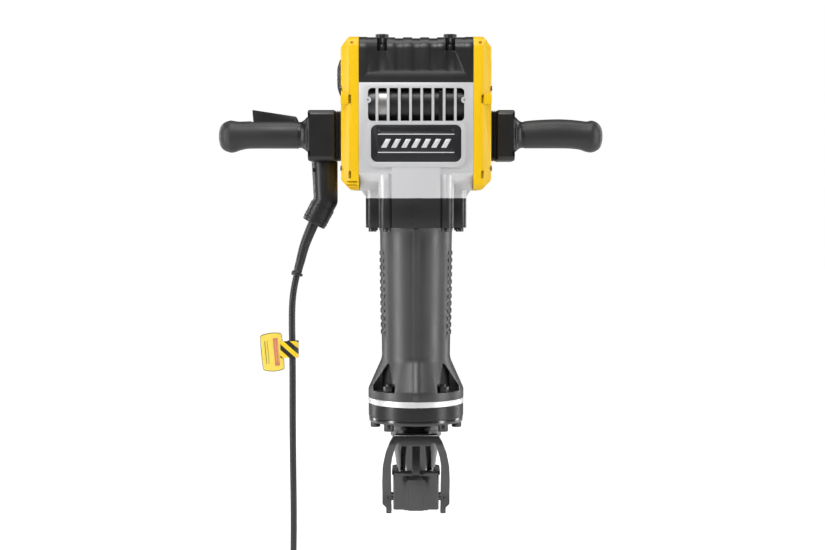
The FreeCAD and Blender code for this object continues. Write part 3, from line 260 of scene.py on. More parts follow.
def make_latch():
    """Stands for the latch: its long sharp edges are rounded, its small ones left."""
    obj = add_object("latch_look", copy_of_node("latch"))
    bm = bmesh.new()
    bm.from_mesh(obj.data)
    bmesh.ops.remove_doubles(bm, verts=bm.verts, dist=WELD)
    bmesh.ops.dissolve_limit(bm, angle_limit=math.radians(1), verts=bm.verts, edges=bm.edges)
    picked = []
    for edge in bm.edges:
        if len(edge.link_faces) != 2 or edge.calc_length() < LATCH_SHORTEST:
            continue
        if edge.calc_face_angle_signed(0) < math.radians(LATCH_ANGLE):
            continue
        if all(vertex.co.z > LATCH_LOWEST for vertex in edge.verts):
            picked.append(edge)
    bmesh.ops.bevel(bm, geom=picked, offset=LATCH_EDGE, segments=3, profile=0.5, affect="EDGES",
                    clamp_overlap=True)
    bmesh.ops.triangulate(bm, faces=[face for face in bm.faces if len(face.verts) > 4])
    bm.to_mesh(obj.data)
    bm.free()
    finish_as_node(obj, "latch")


def weigh_edges(mesh, angle, region):
    """Marks the edges that the bevel rounds: sharper than the angle and outside the region."""
    bm = bmesh.new()
    bm.from_mesh(mesh)
    weight = bm.edges.layers.float.new("bevel_weight_edge")
    for edge in bm.edges:
        if len(edge.link_faces) != 2 or edge.calc_face_angle(0) < math.radians(angle):
            continue
        inside = region and all(low < value < high for vertex in edge.verts
                                for low, value, high in zip(region[0], vertex.co, region[1]))
        edge[weight] = 0.0 if inside else 1.0
    bm.to_mesh(mesh)
    bm.free()


def make_handle_block(side_name):
    """Stands for a handle block: the rims of its two end faces are rounded over."""
    node = side_name + "_handle_block"
    obj = add_object(node + "_look", copy_of_node(node))
    low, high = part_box(node)
    bm = bmesh.new()
    bm.from_mesh(obj.data)
    bmesh.ops.remove_doubles(bm, verts=bm.verts, dist=WELD)
    rim = []
    for edge in bm.edges:
        if len(edge.link_faces) != 2 or edge.calc_face_angle(0) < math.radians(60):
            continue
        on_face = any(all(abs(v.co.x - x) < 0.0001 for v in edge.verts) for x in (low.x, high.x))
        middle = (edge.verts[0].co + edge.verts[1].co) / 2
        to_side = min(middle.y - low.y, high.y - middle.y, middle.z - low.z, high.z - middle.z)
        if on_face and to_side < BLOCK_RIM_DEPTH:
            rim.append(edge)
    bmesh.ops.bevel(bm, geom=rim, offset=BLOCK_EDGE, segments=4, profile=0.5, affect="EDGES",
                    clamp_overlap=False)
    bm.to_mesh(obj.data)
    bm.free()
    finish_as_node(obj, node)


def lofted(name, rings):
    """Mesh through rings of the same number of points, capped at its ends."""
    bm = bmesh.new()
    rows = [[bm.verts.new(p) for p in ring] for ring in rings]
    count = len(rows[0])
    for a, b in zip(rows, rows[1:]):
        for k in range(count):
            bm.faces.new((a[k], a[(k + 1) % count], b[(k + 1) % count], b[k]))
    bm.faces.new(list(reversed(rows[0])))
    bm.faces.new(rows[-1])
    return add_object(name, mesh_from(name, bm))


def ring_about(centre, direction, radius, sides):
    """Circle of points about a centre, square to a direction."""
    forward = Vector(direction).normalized()
    side = forward.cross(Vector((0, 1, 0))).normalized()
    up = side.cross(forward)
    points = []
    for k in range(sides):
        angle = 2 * math.pi * k / sides
        points.append(Vector(centre) + side * radius * math.cos(angle) + up * radius * math.sin(angle))
    return points


def ramp(value, low, high):
    """Goes smoothly from 0 to 1 as the value goes from low to high."""
    share = min(1.0, max(0.0, (value - low) / (high - low)))
    return share * share * (3 - 2 * share)


# ---- materials -------------------------------------------------------------------------------
TINT_SCALE = 14.0           # noise scale of the uneven colour


def surface(name, colour, roughness, metallic=0.0, tint=0.08, rough_spread=0.06, grain=0.0,
            grain_scale=1400.0, lumps=0.0, lump_scale=60.0, stretch=(1, 1, 1), wear=0.0,
            wear_colour=(0.5, 0.5, 0.5), coat=0.0, sheen=0.0, specular=0.5):
    """Node material: uneven colour and roughness, surface grain, soft lumps and worn edges."""
    material = bpy.data.materials.new(name)
    material.use_nodes = True
    tree = material.node_tree
    shader = tree.nodes["Principled BSDF"]
    shader.inputs["Metallic"].default_value = metallic
    shader.inputs["Coat Weight"].default_value = coat
    shader.inputs["Coat Roughness"].default_value = 0.12
    shader.inputs["Sheen Weight"].default_value = sheen
    shader.inputs["Specular IOR Level"].default_value = specular
    place = tree.nodes.new("ShaderNodeTexCoord")
    mapping = tree.nodes.new("ShaderNodeMapping")
    mapping.inputs["Scale"].default_value = stretch
    tree.links.new(place.outputs["Object"], mapping.inputs["Vector"])
    broad = noise(tree, mapping, TINT_SCALE, 5.0)
    fine = noise(tree, mapping, grain_scale, 2.0)
    dark = [c * (1 - tint) for c in colour] + [1]
    light = [min(1.0, c * (1 + tint)) for c in colour] + [1]
    blend = tree.nodes.new("ShaderNodeMix")
    blend.data_type = "RGBA"
    blend.inputs["A"].default_value = dark
    blend.inputs["B"].default_value = light
    tree.links.new(broad.outputs["Fac"], blend.inputs["Factor"])
    last = blend.outputs["Result"]
    if wear > 0:
        last = worn_edges(tree, last, fine, wear, wear_colour)
    tree.links.new(last, shader.inputs["Base Color"])
    spread = tree.nodes.new("ShaderNodeMapRange")
    spread.inputs["From Min"].default_value = 0.3
    spread.inputs["From Max"].default_value = 0.7
    spread.inputs["To Min"].default_value = max(0.02, roughness - rough_spread)
    spread.inputs["To Max"].default_value = min(1.0, roughness + rough_spread)
    tree.links.new(broad.outputs["Fac"], spread.inputs["Value"])
    tree.links.new(spread.outputs["Result"], shader.inputs["Roughness"])
    normal = None
    if grain > 0:
        normal = bump(tree, fine, grain, 0.0004, normal)
    if lumps > 0:
        normal = bump(tree, noise(tree, mapping, lump_scale, 3.0), lumps, 0.002, normal)
    if normal is not None:
        tree.links.new(normal, shader.inputs["Normal"])
    return material


def noise(tree, mapping, scale, detail):
    node = tree.nodes.new("ShaderNodeTexNoise")
    node.inputs["Scale"].default_value = scale
    node.inputs["Detail"].default_value = detail
    tree.links.new(mapping.outputs["Vector"], node.inputs["Vector"])
    return node


def bump(tree, height, strength, distance, below):
    node = tree.nodes.new("ShaderNodeBump")
    node.inputs["Strength"].default_value = strength
    node.inputs["Distance"].default_value = distance
    tree.links.new(height.outputs["Fac"], node.inputs["Height"])
    if below is not None:
        tree.links.new(below, node.inputs["Normal"])
    return node.outputs["Normal"]


def worn_edges(tree, colour, fine, amount, worn):
    """Lightens convex edges, broken up by the fine noise."""
    geometry = tree.nodes.new("ShaderNodeNewGeometry")
    edge = tree.nodes.new("ShaderNodeMapRange")
    edge.inputs["From Min"].default_value = 0.52
    edge.inputs["From Max"].default_value = 0.60
    tree.links.new(geometry.outputs["Pointiness"], edge.inputs["Value"])
    broken = tree.nodes.new("ShaderNodeMath")
    broken.operation = "MULTIPLY"
    tree.links.new(edge.outputs["Result"], broken.inputs[0])
    tree.links.new(fine.outputs["Fac"], broken.inputs[1])
    scaled = tree.nodes.new("ShaderNodeMath")
    scaled.operation = "MULTIPLY"
    scaled.inputs[1].default_value = amount
    tree.links.new(broken.outputs["Value"], scaled.inputs[0])
    mix = tree.nodes.new("ShaderNodeMix")
    mix.data_type = "RGBA"
    mix.inputs["B"].default_value = list(worn) + [1]
    tree.links.new(colour, mix.inputs["A"])
    tree.links.new(scaled.outputs["Value"], mix.inputs["Factor"])
    return mix.outputs["Result"]


FINISHES = {
    "silver_paint": dict(colour=(0.62, 0.62, 0.63), roughness=0.40, metallic=0.35, tint=0.03, grain=0.05,
                         grain_scale=1800, rough_spread=0.04, coat=0.15),
    "black_plastic": dict(colour=(0.012, 0.012, 0.013), roughness=0.34, tint=0.12, grain=0.22, wear=0.15,
                          wear_colour=(0.06, 0.06, 0.06)),
    "yellow_plastic": dict(colour=(0.80, 0.49, 0.002), roughness=0.36, tint=0.03, grain=0.05,
                           rough_spread=0.03, specular=0.35),
    "dark_steel": dict(colour=(0.07, 0.07, 0.075), roughness=0.32, metallic=0.8, tint=0.15, grain=0.05,
                       wear=0.3, wear_colour=(0.25, 0.25, 0.25)),
    "badge_black": dict(colour=(0.012, 0.012, 0.014), roughness=0.34, grain=0.06),
    "badge_light": dict(colour=(0.72, 0.72, 0.73), roughness=0.35, metallic=0.3, tint=0.04, grain=0.05),
    "black_paint": dict(colour=(0.013, 0.013, 0.014), roughness=0.30, tint=0.12, grain=0.12, lumps=0.05,
                        lump_scale=180, wear=0.15, wear_colour=(0.10, 0.10, 0.10)),
    "charcoal_paint": dict(colour=(0.10, 0.10, 0.102), roughness=0.41, metallic=0.8, grain=0.10,
                           grain_scale=2200, rough_spread=0.05, wear=0.2, wear_colour=(0.2, 0.2, 0.2)),
    "ground_steel": dict(colour=(0.60, 0.60, 0.61), roughness=0.26, metallic=1.0, stretch=(1, 1, 12),
                         grain=0.08),
    "bright_steel": dict(colour=(0.88, 0.88, 0.88), roughness=0.42, metallic=0.75, tint=0.05,
                         stretch=(1, 1, 40), grain=0.08, grain_scale=160),
    "black_iron": dict(colour=(0.006, 0.006, 0.007), roughness=0.22, tint=0.3, lumps=0.12, lump_scale=130,
                       grain=0.10, grain_scale=700, coat=0.8, specular=0.7, wear=0.12,
                       wear_colour=(0.06, 0.06, 0.06)),
    "lamination": dict(colour=(0.10, 0.10, 0.105), roughness=0.5, metallic=0.6, stretch=(40, 1, 1),
                       grain=0.3, grain_scale=120),
    "copper_wire": dict(colour=(0.55, 0.22, 0.09), roughness=0.32, metallic=0.7, stretch=(1, 6, 6),
                        grain=0.3, grain_scale=260),
    "cast_aluminium": dict(colour=(0.62, 0.63, 0.64), roughness=0.42, metallic=0.9, grain=0.18,
                           grain_scale=800),
    "brass": dict(colour=(0.70, 0.50, 0.20), roughness=0.3, metallic=1.0, grain=0.08),
    "bronze": dict(colour=(0.50, 0.30, 0.13), roughness=0.34, metallic=1.0, grain=0.08),
    "rubber": dict(colour=(0.012, 0.012, 0.013), roughness=0.34, tint=0.15, grain=0.2, sheen=0.05),
    "spring_steel": dict(colour=(0.35, 0.35, 0.37), roughness=0.3, metallic=1.0, grain=0.05),
    "gear_steel": dict(colour=(0.42, 0.41, 0.40), roughness=0.32, metallic=1.0, grain=0.08),
    "grip_rubber": dict(colour=(0.019, 0.019, 0.020), roughness=0.44, tint=0.10, grain=0.25,
                        grain_scale=1700, lumps=0.04, sheen=0.08),
    "cord_rubber": dict(colour=(0.020, 0.020, 0.021), roughness=0.38, tint=0.12, grain=0.12,
                        stretch=(1, 1, 0.3)),
    "tag_yellow": dict(colour=(0.86, 0.66, 0.10), roughness=0.34, tint=0.04, lumps=0.05),
    "tag_edge": dict(colour=(0.13, 0.10, 0.02), roughness=0.40),
    "tag_red": dict(colour=(0.62, 0.20, 0.14), roughness=0.38, tint=0.06),
}


def hazard_material(name, stripe_width, slope):
    """Yellow film with black slanted stripes, in the object's own X and Z."""
    material = surface(name, (0.90, 0.62, 0.02), 0.35, tint=0.05)
    tree = material.node_tree
    shader = tree.nodes["Principled BSDF"]
    base = shader.inputs["Base Color"].links[0].from_socket
    split = tree.nodes.new("ShaderNodeSeparateXYZ")
    coord = tree.nodes["Texture Coordinate"]
    tree.links.new(coord.outputs["Object"], split.inputs["Vector"])
    slant = tree.nodes.new("ShaderNodeMath")
    slant.operation = "MULTIPLY_ADD"
    slant.inputs[1].default_value = slope
    tree.links.new(split.outputs["X"], slant.inputs[0])
    tree.links.new(split.outputs["Z"], slant.inputs[2])
    wave = tree.nodes.new("ShaderNodeMath")
    wave.operation = "PINGPONG"
    wave.inputs[1].default_value = stripe_width
    tree.links.new(slant.outputs["Value"], wave.inputs[0])
    step = tree.nodes.new("ShaderNodeMath")
    step.operation = "GREATER_THAN"
    step.inputs[1].default_value = stripe_width * 0.5
    tree.links.new(wave.outputs["Value"], step.inputs[0])
    mix = tree.nodes.new("ShaderNodeMix")
    mix.data_type = "RGBA"
    mix.inputs["B"].default_value = (0.02, 0.018, 0.016, 1)
    tree.links.new(base, mix.inputs["A"])
    tree.links.new(step.outputs["Value"], mix.inputs["Factor"])
    tree.links.new(mix.outputs["Result"], shader.inputs["Base Color"])
    return material


MATERIALS = {name: surface(name, **finish) for name, finish in FINISHES.items()}
MATERIALS["tag_stripes"] = hazard_material("tag_stripes", 0.0095, 0.9)


# ---- camera, light and stage -----------------------------------------------------------------
def make_camera():
    data = bpy.data.cameras.new("camera")
    data.lens = LENS_MM
    data.sensor_width = SENSOR_MM
    data.clip_end = 60.0
    camera = add_object("camera", data)
    camera.location = (VIEW_X, -VIEW_DISTANCE, VIEW_HEIGHT)
    camera.rotation_euler = (math.radians(90 - VIEW_DOWN), 0, 0)
    bpy.context.scene.camera = camera


def area_light(name, place, target, width, height, power):
    data = bpy.data.lights.new(name, "AREA")
    data.shape = "RECTANGLE"
    data.size = width
    data.size_y = height
    data.energy = power
    light = add_object(name, data)
    light.location = place
    light.rotation_euler = (Vector(target) - Vector(place)).to_track_quat("-Z", "Y").to_euler()


def stage_material(name, colour, glow, glow_seen):
    """Matt white that glows more for the camera than it lights the object."""
    material = bpy.data.materials.new(name)
    material.use_nodes = True
    tree = material.node_tree
    shader = tree.nodes["Principled BSDF"]
    path = tree.nodes.new("ShaderNodeLightPath")
    strength = tree.nodes.new("ShaderNodeMapRange")
    strength.inputs["To Min"].default_value = glow
    strength.inputs["To Max"].default_value = glow_seen
    tree.links.new(path.outputs["Is Camera Ray"], strength.inputs["Value"])
    tree.links.new(strength.outputs["Result"], shader.inputs["Emission Strength"])
    shader.inputs["Base Color"].default_value = (*colour, 1)
    shader.inputs["Roughness"].default_value = 0.9
    shader.inputs["Specular IOR Level"].default_value = 0.2
    shader.inputs["Emission Color"].default_value = (*colour, 1)
    return material


def make_stage():
    """Pale floor, and a world that looks white but lights the object softly."""
    bm = bmesh.new()
    corners = [(-FLOOR_HALF, -FLOOR_HALF), (FLOOR_HALF, -FLOOR_HALF),
               (FLOOR_HALF, FLOOR_HALF), (-FLOOR_HALF, FLOOR_HALF)]
    bm.faces.new([bm.verts.new((x, y, GROUND_Z)) for x, y in corners])
    floor = add_object("floor", mesh_from("floor", bm))
    floor.data.materials.append(stage_material("floor", (0.92, 0.92, 0.92), FLOOR_GLOW, FLOOR_SEEN))
    world = bpy.data.worlds.new("world")
    world.use_nodes = True
    tree = world.node_tree
    seen = tree.nodes["Background"]
    seen.inputs["Color"].default_value = (1, 1, 1, 1)
    seen.inputs["Strength"].default_value = 1.0
    lighting = tree.nodes.new("ShaderNodeBackground")
    lighting.inputs["Color"].default_value = (1, 1, 1, 1)
    lighting.inputs["Strength"].default_value = WORLD_LIGHT
    path = tree.nodes.new("ShaderNodeLightPath")
    mix = tree.nodes.new("ShaderNodeMixShader")
    tree.links.new(path.outputs["Is Camera Ray"], mix.inputs["Fac"])
    tree.links.new(lighting.outputs["Background"], mix.inputs[1])
    tree.links.new(seen.outputs["Background"], mix.inputs[2])
    tree.links.new(mix.outputs["Shader"], tree.nodes["World Output"].inputs["Surface"])
    bpy.context.scene.world = world
    bpy.context.scene.view_settings.view_transform = "Standard"


def make_lights():
    aim = (0, 0, 0.40)
    area_light("key_left", (-2.15, -1.15, 0.75), aim, 0.45, 2.2, 30)
    area_light("fill_right", (2.2, -1.0, 0.75), aim, 0.45, 2.2, 25)
    area_light("front", (-0.35, -2.1, 2.5), (0, 0, 0.5), 1.2, 1.0, 40)
    area_light("top", (0, -0.3, 2.5), (0, 0, 0.6), 1.8, 1.0, 20)
    area_light("rim_left", (-1.7, 1.0, 0.8), aim, 0.4, 2.0, 14)
    area_light("rim_right", (1.7, 1.0, 0.8), aim, 0.4, 2.0, 14)


# ---- carried-over CAD nodes ------------------------------------------------------------------
def dress_nodes():
    """Every CAD node gets its slot's material; those with a stand-in are hidden later."""
    for node, slot in SLOT_OF.items():
        NODES[node].data.materials.clear()
        NODES[node].data.materials.append(MATERIALS[slot])


# ---- mains lead's curve ------------------------------------------------------------------------
def coil_points():
    """Control points of the coil: two turns spiral in on the floor, then two spiral out on top."""
    reach = 1 / (0.5 + 0.5 * math.cos(math.pi / COIL_PER_TURN))
    points = []
    for k in range(COIL_TURNS * COIL_PER_TURN + 1):
        turn = k / COIL_PER_TURN
        inward = min(1.0, turn / 2)
        outward = max(0.0, (turn - COIL_CLIMB_END) / (COIL_TURNS - COIL_CLIMB_END))
        radius = COIL_OUTER_R - (COIL_OUTER_R - COIL_INNER_R) * (inward - outward)
        height = COIL_LOW + (COIL_HIGH - COIL_LOW) * ramp(turn, COIL_CLIMB_START, COIL_CLIMB_END)
        angle = -math.pi / 2 + 2 * math.pi * turn
        points.append((COIL_CENTRE[0] + radius * reach * math.cos(angle),
                       COIL_CENTRE[1] + radius * reach * math.sin(angle), height))
    return points


def make_cord():
    """The lead from the outlet to the plug; it rides on the left handle."""
    data = bpy.data.curves.new("mains_lead", "CURVE")
    data.dimensions = "3D"
    data.bevel_depth = CORD_DIAMETER / 2
    data.bevel_resolution = 6
    data.resolution_u = 10
    data.use_fill_caps = True
    spline = data.splines.new("NURBS")
    x, y, z = PLUG_REAR
    tail = [(x - 0.032, y + 0.002, COIL_HIGH), (x - 0.014, y, z), (x + 0.002, y, z)]
    points = CORD_ROUTE + coil_points() + tail
    spline.points.add(len(points) - 1)
    for point, place in zip(spline.points, points):
        point.co = (*place, 1)
    spline.order_u = 3
    spline.use_endpoint_u = True
    lead = add_object("mains_lead", data)
    lead.data.materials.append(MATERIALS["cord_rubber"])
    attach(lead, "left_handle")
    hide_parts("cord", "cord_coil")
    return lead


# ---- paths -----------------------------------------------------------------------------------
def smooth_path(points, steps):
    """Catmull-Rom curve through points of any dimension."""
    found = []
    for i in range(len(points) - 1):
        a = points[max(0, i - 1)]
        b, c = points[i], points[i + 1]
        d = points[min(len(points) - 1, i + 2)]
        for k in range(steps):
            t = k / steps
            found.append([0.5 * (2 * q + (r - p) * t + (2 * p - 5 * q + 4 * r - u) * t * t
                                 + (3 * q - p - 3 * r + u) * t ** 3)
                          for p, q, r, u in zip(a, b, c, d)])
    found.append(list(points[-1]))
    return found


def swept(name, stations, steps, sides=32):
    """Round sleeve through (x, y, z, radius) stations."""
    path = smooth_path(stations, steps)
    rings = []
    for i, station in enumerate(path):
        before = Vector(path[max(0, i - 1)][:3])
        after = Vector(path[min(len(path) - 1, i + 1)][:3])
        rings.append(ring_about(station[:3], after - before, station[3], sides))
    return lofted(name, rings)


# ---- hand grips ------------------------------------------------------------------------------
def grip_rings(stations, side, tip_x, length):
    """Slightly squared rings along the grip, fitted to the length between its tip and the block."""
    rings = []
    sides = 40
    scale = length / GRIP_LENGTH
    for back, top, bottom, depth in smooth_path(stations, 6):
        x = side * (tip_x - back * (scale if back > GRIP_TIP_LENGTH else 1))
        ring = []
        for k in range(sides):
            angle = 2 * math.pi * k / sides
            up, across = math.sin(angle), math.cos(angle)
            square = (abs(up) ** GRIP_SQUARENESS + abs(across) ** GRIP_SQUARENESS) ** (-1 / GRIP_SQUARENESS)
            rise = (top if up > 0 else bottom) * up * square
            ring.append(Vector((x, depth * across * square, HANDLE_Z + rise)))
        rings.append(ring)
    return rings


def make_grip(side_name, side):
    """Rubber sleeve and its harder neck; the left sleeve is cut open for the switch lever."""
    low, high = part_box(side_name + "_grip")
    tip_x = max(abs(low.x), abs(high.x))
    block_low, block_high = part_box(side_name + "_handle_block")
    length = tip_x - max(abs(block_low.x), abs(block_high.x)) - 0.0002
    body = side_name + "_handle"
    sleeve = lofted(side_name + "_grip_sleeve", grip_rings(GRIP_STATIONS[side_name], side, tip_x, length))
    finish_piece(sleeve, body, "grip_rubber", (side_name + "_grip",), angle=50)
    neck = lofted(side_name + "_grip_neck", grip_rings(NECK_STATIONS, side, tip_x, length))
    finish_piece(neck, body, "black_plastic", angle=50)
    if side_name == "left":
        cut_with(sleeve, box_mesh("switch_well", WELL_LOW, WELL_HIGH, 0.0015, 3))


def box_mesh(name, low, high, rounding, segments):
    """Box with rounded edges, as an object."""
    bm = bmesh.new()
    bmesh.ops.create_cube(bm, size=1)
    size = Vector(high) - Vector(low)
    middle = (Vector(high) + Vector(low)) / 2
    for vertex in bm.verts:
        vertex.co = middle + Vector(a * b for a, b in zip(vertex.co, size))
    bmesh.ops.bevel(bm, geom=bm.edges[:], offset=rounding, segments=segments, profile=0.5, affect="EDGES")
    return add_object(name, mesh_from(name, bm))


def cut_with(obj, tool):
    """Takes the tool's volume out of the object and removes the tool."""
    keep = list(obj.data.materials)
    modifier = obj.modifiers.new("cut", "BOOLEAN")
    modifier.operation = "DIFFERENCE"
    modifier.solver = "EXACT"
    modifier.object = tool
    apply_modifiers(obj)
    bpy.data.objects.remove(tool)
    obj.data.materials.clear()
    for material in keep:
        obj.data.materials.append(material)
    for polygon in obj.data.polygons:
        polygon.material_index = 0
    smooth_by_angle(obj, 40)


# ---- bellows, outlet and strain relief -------------------------------------------------------
def make_bellows(side_name, side):
    """Rubber boot with rounded folds, between the head and the handle."""
    low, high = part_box(side_name + "_bellows")
    x0 = min(abs(low.x), abs(high.x))
    x1 = max(abs(low.x), abs(high.x))
    rings = []
    steps = FOLDS * 8
    for k in range(steps + 1):
        share = k / steps
        dip = FOLD_DEPTH * (0.5 - 0.5 * math.cos(2 * math.pi * FOLDS * share)) ** 0.8
        x = side * (x0 + (x1 - x0) * share)
        rings.append(rounded_loop(x, high.y - dip, low.z + dip, high.z - dip, BOOT_CORNER))
    boot = lofted(side_name + "_boot", rings)
    smooth_by_angle(boot, 60)
    boot.data.materials.append(MATERIALS["rubber"])
    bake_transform(boot)
    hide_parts(side_name + "_bellows")


def make_springs(side_name):
    """Coil springs above and below the block's sleeve; one end sits at the bracket, the other at the
    block's sleeve.
    """
    node = side_name + "_springs"
    low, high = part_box(node)
    x = (low.x + high.x) / 2
    per_turn = 18
    for part, fixed, moving in (("low", low.z, SLEEVE_LOW), ("high", high.z, SLEEVE_HIGH)):
        start, end = sorted((fixed, moving))
        rise = end - start - 2 * SPRING_WIRE
        coil = []
        for k in range(SPRING_TURNS * per_turn + 1):
            turn = k / per_turn
            angle = 2 * math.pi * turn
            out, y = SPRING_RADIUS * math.cos(angle), SPRING_RADIUS * math.sin(angle)
            z = start + SPRING_WIRE + rise * ramp(turn, SPRING_CLOSED, SPRING_TURNS - SPRING_CLOSED)
            coil.append((x + out, y, z, SPRING_WIRE))
        spring = swept("%s_spring_%s" % (side_name, part), coil, 1, sides=10)
        smooth_by_angle(spring, 60)
        spring.data.materials.append(MATERIALS["spring_steel"])
        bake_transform(spring)
        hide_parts(node)


def rounded_loop(x, half_y, low_z, high_z, radius):
    """Rounded rectangle of points at one X."""
    points = []
    per_corner = 6
    middles = [(half_y - radius, high_z - radius, 0), (-half_y + radius, high_z - radius, 90),
               (-half_y + radius, low_z + radius, 180), (half_y - radius, low_z + radius, 270)]
    for y, z, turn in middles:
        for k in range(per_corner + 1):
            angle = math.radians(turn + 90 * k / per_corner)
            points.append(Vector((x, y + radius * math.cos(angle), z + radius * math.sin(angle))))
    return points


def make_outlet_cap():
    """Clamped lower half of the cord outlet, standing a little proud of it, with two ridges."""
    profile = [(0.24, 0.0190), (0.25, 0.0204), (0.28, 0.0209), (0.60, 0.0206), (0.92, 0.0202),
               (0.98, 0.0196), (1.0, 0.0186)]
    cap = swept("outlet_cap", outlet_stations(profile), 3)
    finish_piece(cap, "left_handle", "black_plastic")
    for share in (0.72, 0.84):
        profile = [(share - 0.03, 0.0200), (share - 0.012, 0.0211), (share + 0.012, 0.0211),
                   (share + 0.03, 0.0200)]
        ridge = swept("outlet_ridge_%d" % round(share * 100), outlet_stations(profile), 2)
        finish_piece(ridge, "left_handle", "black_plastic")


def outlet_stations(profile):
    """Stations on the outlet's centre line, from shares of its length and radii."""
    return [(*OUTLET_TOP.lerp(OUTLET_MOUTH, share), radius) for share, radius in profile]


def make_strain_relief():
    """Tapered sleeve round the lead, with a bead at its end."""
    stations = [(-0.1665, 0, 0.4838, 0.0091), (-0.1718, 0, 0.4735, 0.0090), (-0.1805, 0, 0.4535, 0.0086),
                (-0.1872, 0, 0.4350, 0.0081), (-0.1925, 0, 0.4150, 0.0076), (-0.1966, 0, 0.4000, 0.0071),
                (-0.1978, 0, 0.3942, 0.0070), (-0.1980, 0, 0.3936, 0.0094), (-0.1990, 0, 0.3902, 0.0096),
                (-0.1992, 0, 0.3892, 0.0088), (-0.1993, 0, 0.3888, 0.0062)]
    sleeve = swept("strain_relief_sleeve", stations, 5)
    finish_piece(sleeve, "left_handle", "cord_rubber", ("strain_relief",), angle=40)
    return sleeve


# ---- nameplate -------------------------------------------------------------------------------
def make_badge_motif():
    """Light lines, and between them a generic row of slanted bars."""
    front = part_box("nameplate")[0].y
    for k, z in enumerate(BADGE_LINES):
        line = box_mesh("badge_line_%d" % k, (-BADGE_HALF, front - 0.0002, z - 0.0007),
                        (BADGE_HALF, front + 0.0004, z + 0.0007), 0.0002, 2)
        finish_piece(line, "root", "badge_light")
    middle_z = (BADGE_BAR_LOW + BADGE_BAR_HIGH) / 2
    for k in range(BADGE_BARS):
        x = BADGE_ROW_HALF * (2 * k / (BADGE_BARS - 1) - 1)
        bar = box_mesh("badge_bar_%d" % k, (x - 0.0042, front - 0.0002, BADGE_BAR_LOW),
                       (x + 0.0042, front + 0.0006, BADGE_BAR_HIGH), 0.0003, 2)
        for vertex in bar.data.vertices:
            vertex.co.x += (vertex.co.z - middle_z) * BADGE_SLANT
        finish_piece(bar, "root", "badge_light")


# ---- what shows through the grille -----------------------------------------------------------
def make_motor_shroud():
    """Dark curved air baffle round the motor, with the end shield's light rim and the inlet at its left."""
    strips = [("motor_shroud", -0.0440, 0.0800, 0.0920, "black_plastic", "black_plastic"),
              # the end shield rim is cast aluminium given the darker gear-steel grey: painted shade that
              # dims its lit top
              ("end_shield_rim", -0.0620, -0.0442, 0.0920, "gear_steel", "cast_aluminium"),
              ("shroud_inlet", -0.0800, -0.0622, 0.0915, "dark_steel", "black_plastic")]
    for name, x0, x1, outer, material, slot in strips:
        strip = lofted(name, [arc_strip(x0, outer), arc_strip(x1, outer)])
        finish_piece(strip, "root", material)


def make_plate_shade_strip():
    """Painted shade: a dark strip over the edge of the gear plate behind the grille, so that slot reads
    dark.
    """
    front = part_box("gear_plate")[0].y
    shade_strip = box_mesh("plate_shade_strip", (0.0363, front - 0.0002, 0.6360),
                      (0.0442, front + 0.0004, 0.6880), 0.0001, 1)
    finish_piece(shade_strip, "root", "rubber")


def arc_strip(x, outer):
    """Cross-section of a curved sheet behind the grille, at one X."""
    steps = 14
    sweep = [math.radians(BAFFLE_SPREAD * (2 * k / steps - 1)) for k in range(steps + 1)]
    section = []
    for radius, angles in ((outer, sweep), (BAFFLE_INNER, sweep[::-1])):
        for a in angles:
            section.append(Vector((x, BAFFLE_Y - radius * math.cos(a),
                                   BAFFLE_Z + radius * BAFFLE_FLATNESS * math.sin(a))))
    return section


# ---- tag and tie -----------------------------------------------------------------------------
def make_tag():
    """Yellow tag with a plain red panel and rules, on a striped strap round the lead."""
    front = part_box("cord_tag")[0].y
    panel = tag_sheet("tag_panel", TAG_CORNERS, front, 0.0, TAG_ARCH)
    finish_piece(panel, "left_handle", "tag_yellow", ("cord_tag",))
    border = tag_sheet("tag_border", TAG_CORNERS, front + 0.00025, TAG_BORDER, TAG_ARCH)
    finish_piece(border, "left_handle", "tag_edge")
    pieces = [panel, border]
    fields = [("tag_block", (0.46, 0.86, 0.10, 0.90), 0.0002, "tag_red")]
    for k, u in enumerate((0.17, 0.29)):
        fields.append(("tag_rule_%d" % k, (u, u + 0.035, 0.16, 0.84), 0.0002, "tag_edge"))
    for k, u in enumerate((0.56, 0.66, 0.76)):
        fields.append(("tag_mark_%d" % k, (u, u + 0.03, 0.18, 0.82), 0.0004, "tag_yellow"))
    for name, shares, proud, material in fields:
        field = tag_sheet(name, tag_part(*shares), front - proud, 0.0, 0.0)
        finish_piece(field, "left_handle", material)
        pieces.append(field)
    strap = band("tag_strap", strap_path(), STRAP_LOW, STRAP_HIGH, TAG_THICKNESS)
    finish_piece(strap, "left_handle", "tag_stripes", angle=50)
    return pieces + [strap]


def strap_path():
    """From behind the tag, three quarters of the way round the lead, and back."""
    steps = 24
    loop = []
    for k in range(steps + 1):
        angle = math.radians(-90 + 270 * k / steps)
        loop.append((STRAP_X + STRAP_RADIUS * math.cos(angle), STRAP_RADIUS * math.sin(angle)))
    return [(-0.2262, -0.0090)] + loop + [(-0.2152, 0.0)]


def panel_point(corners, u, v):
    """Point of a four-sided panel at shares u across and v up."""
    return corners[0].lerp(corners[1], u).lerp(corners[3].lerp(corners[2], u), v)


def tag_part(u0, u1, v0, v1):
    """Corners of a part of the tag."""
    corners = [Vector(c) for c in TAG_CORNERS]
    return [panel_point(corners, u, v) for u, v in ((u0, v0), (u1, v0), (u1, v1), (u0, v1))]


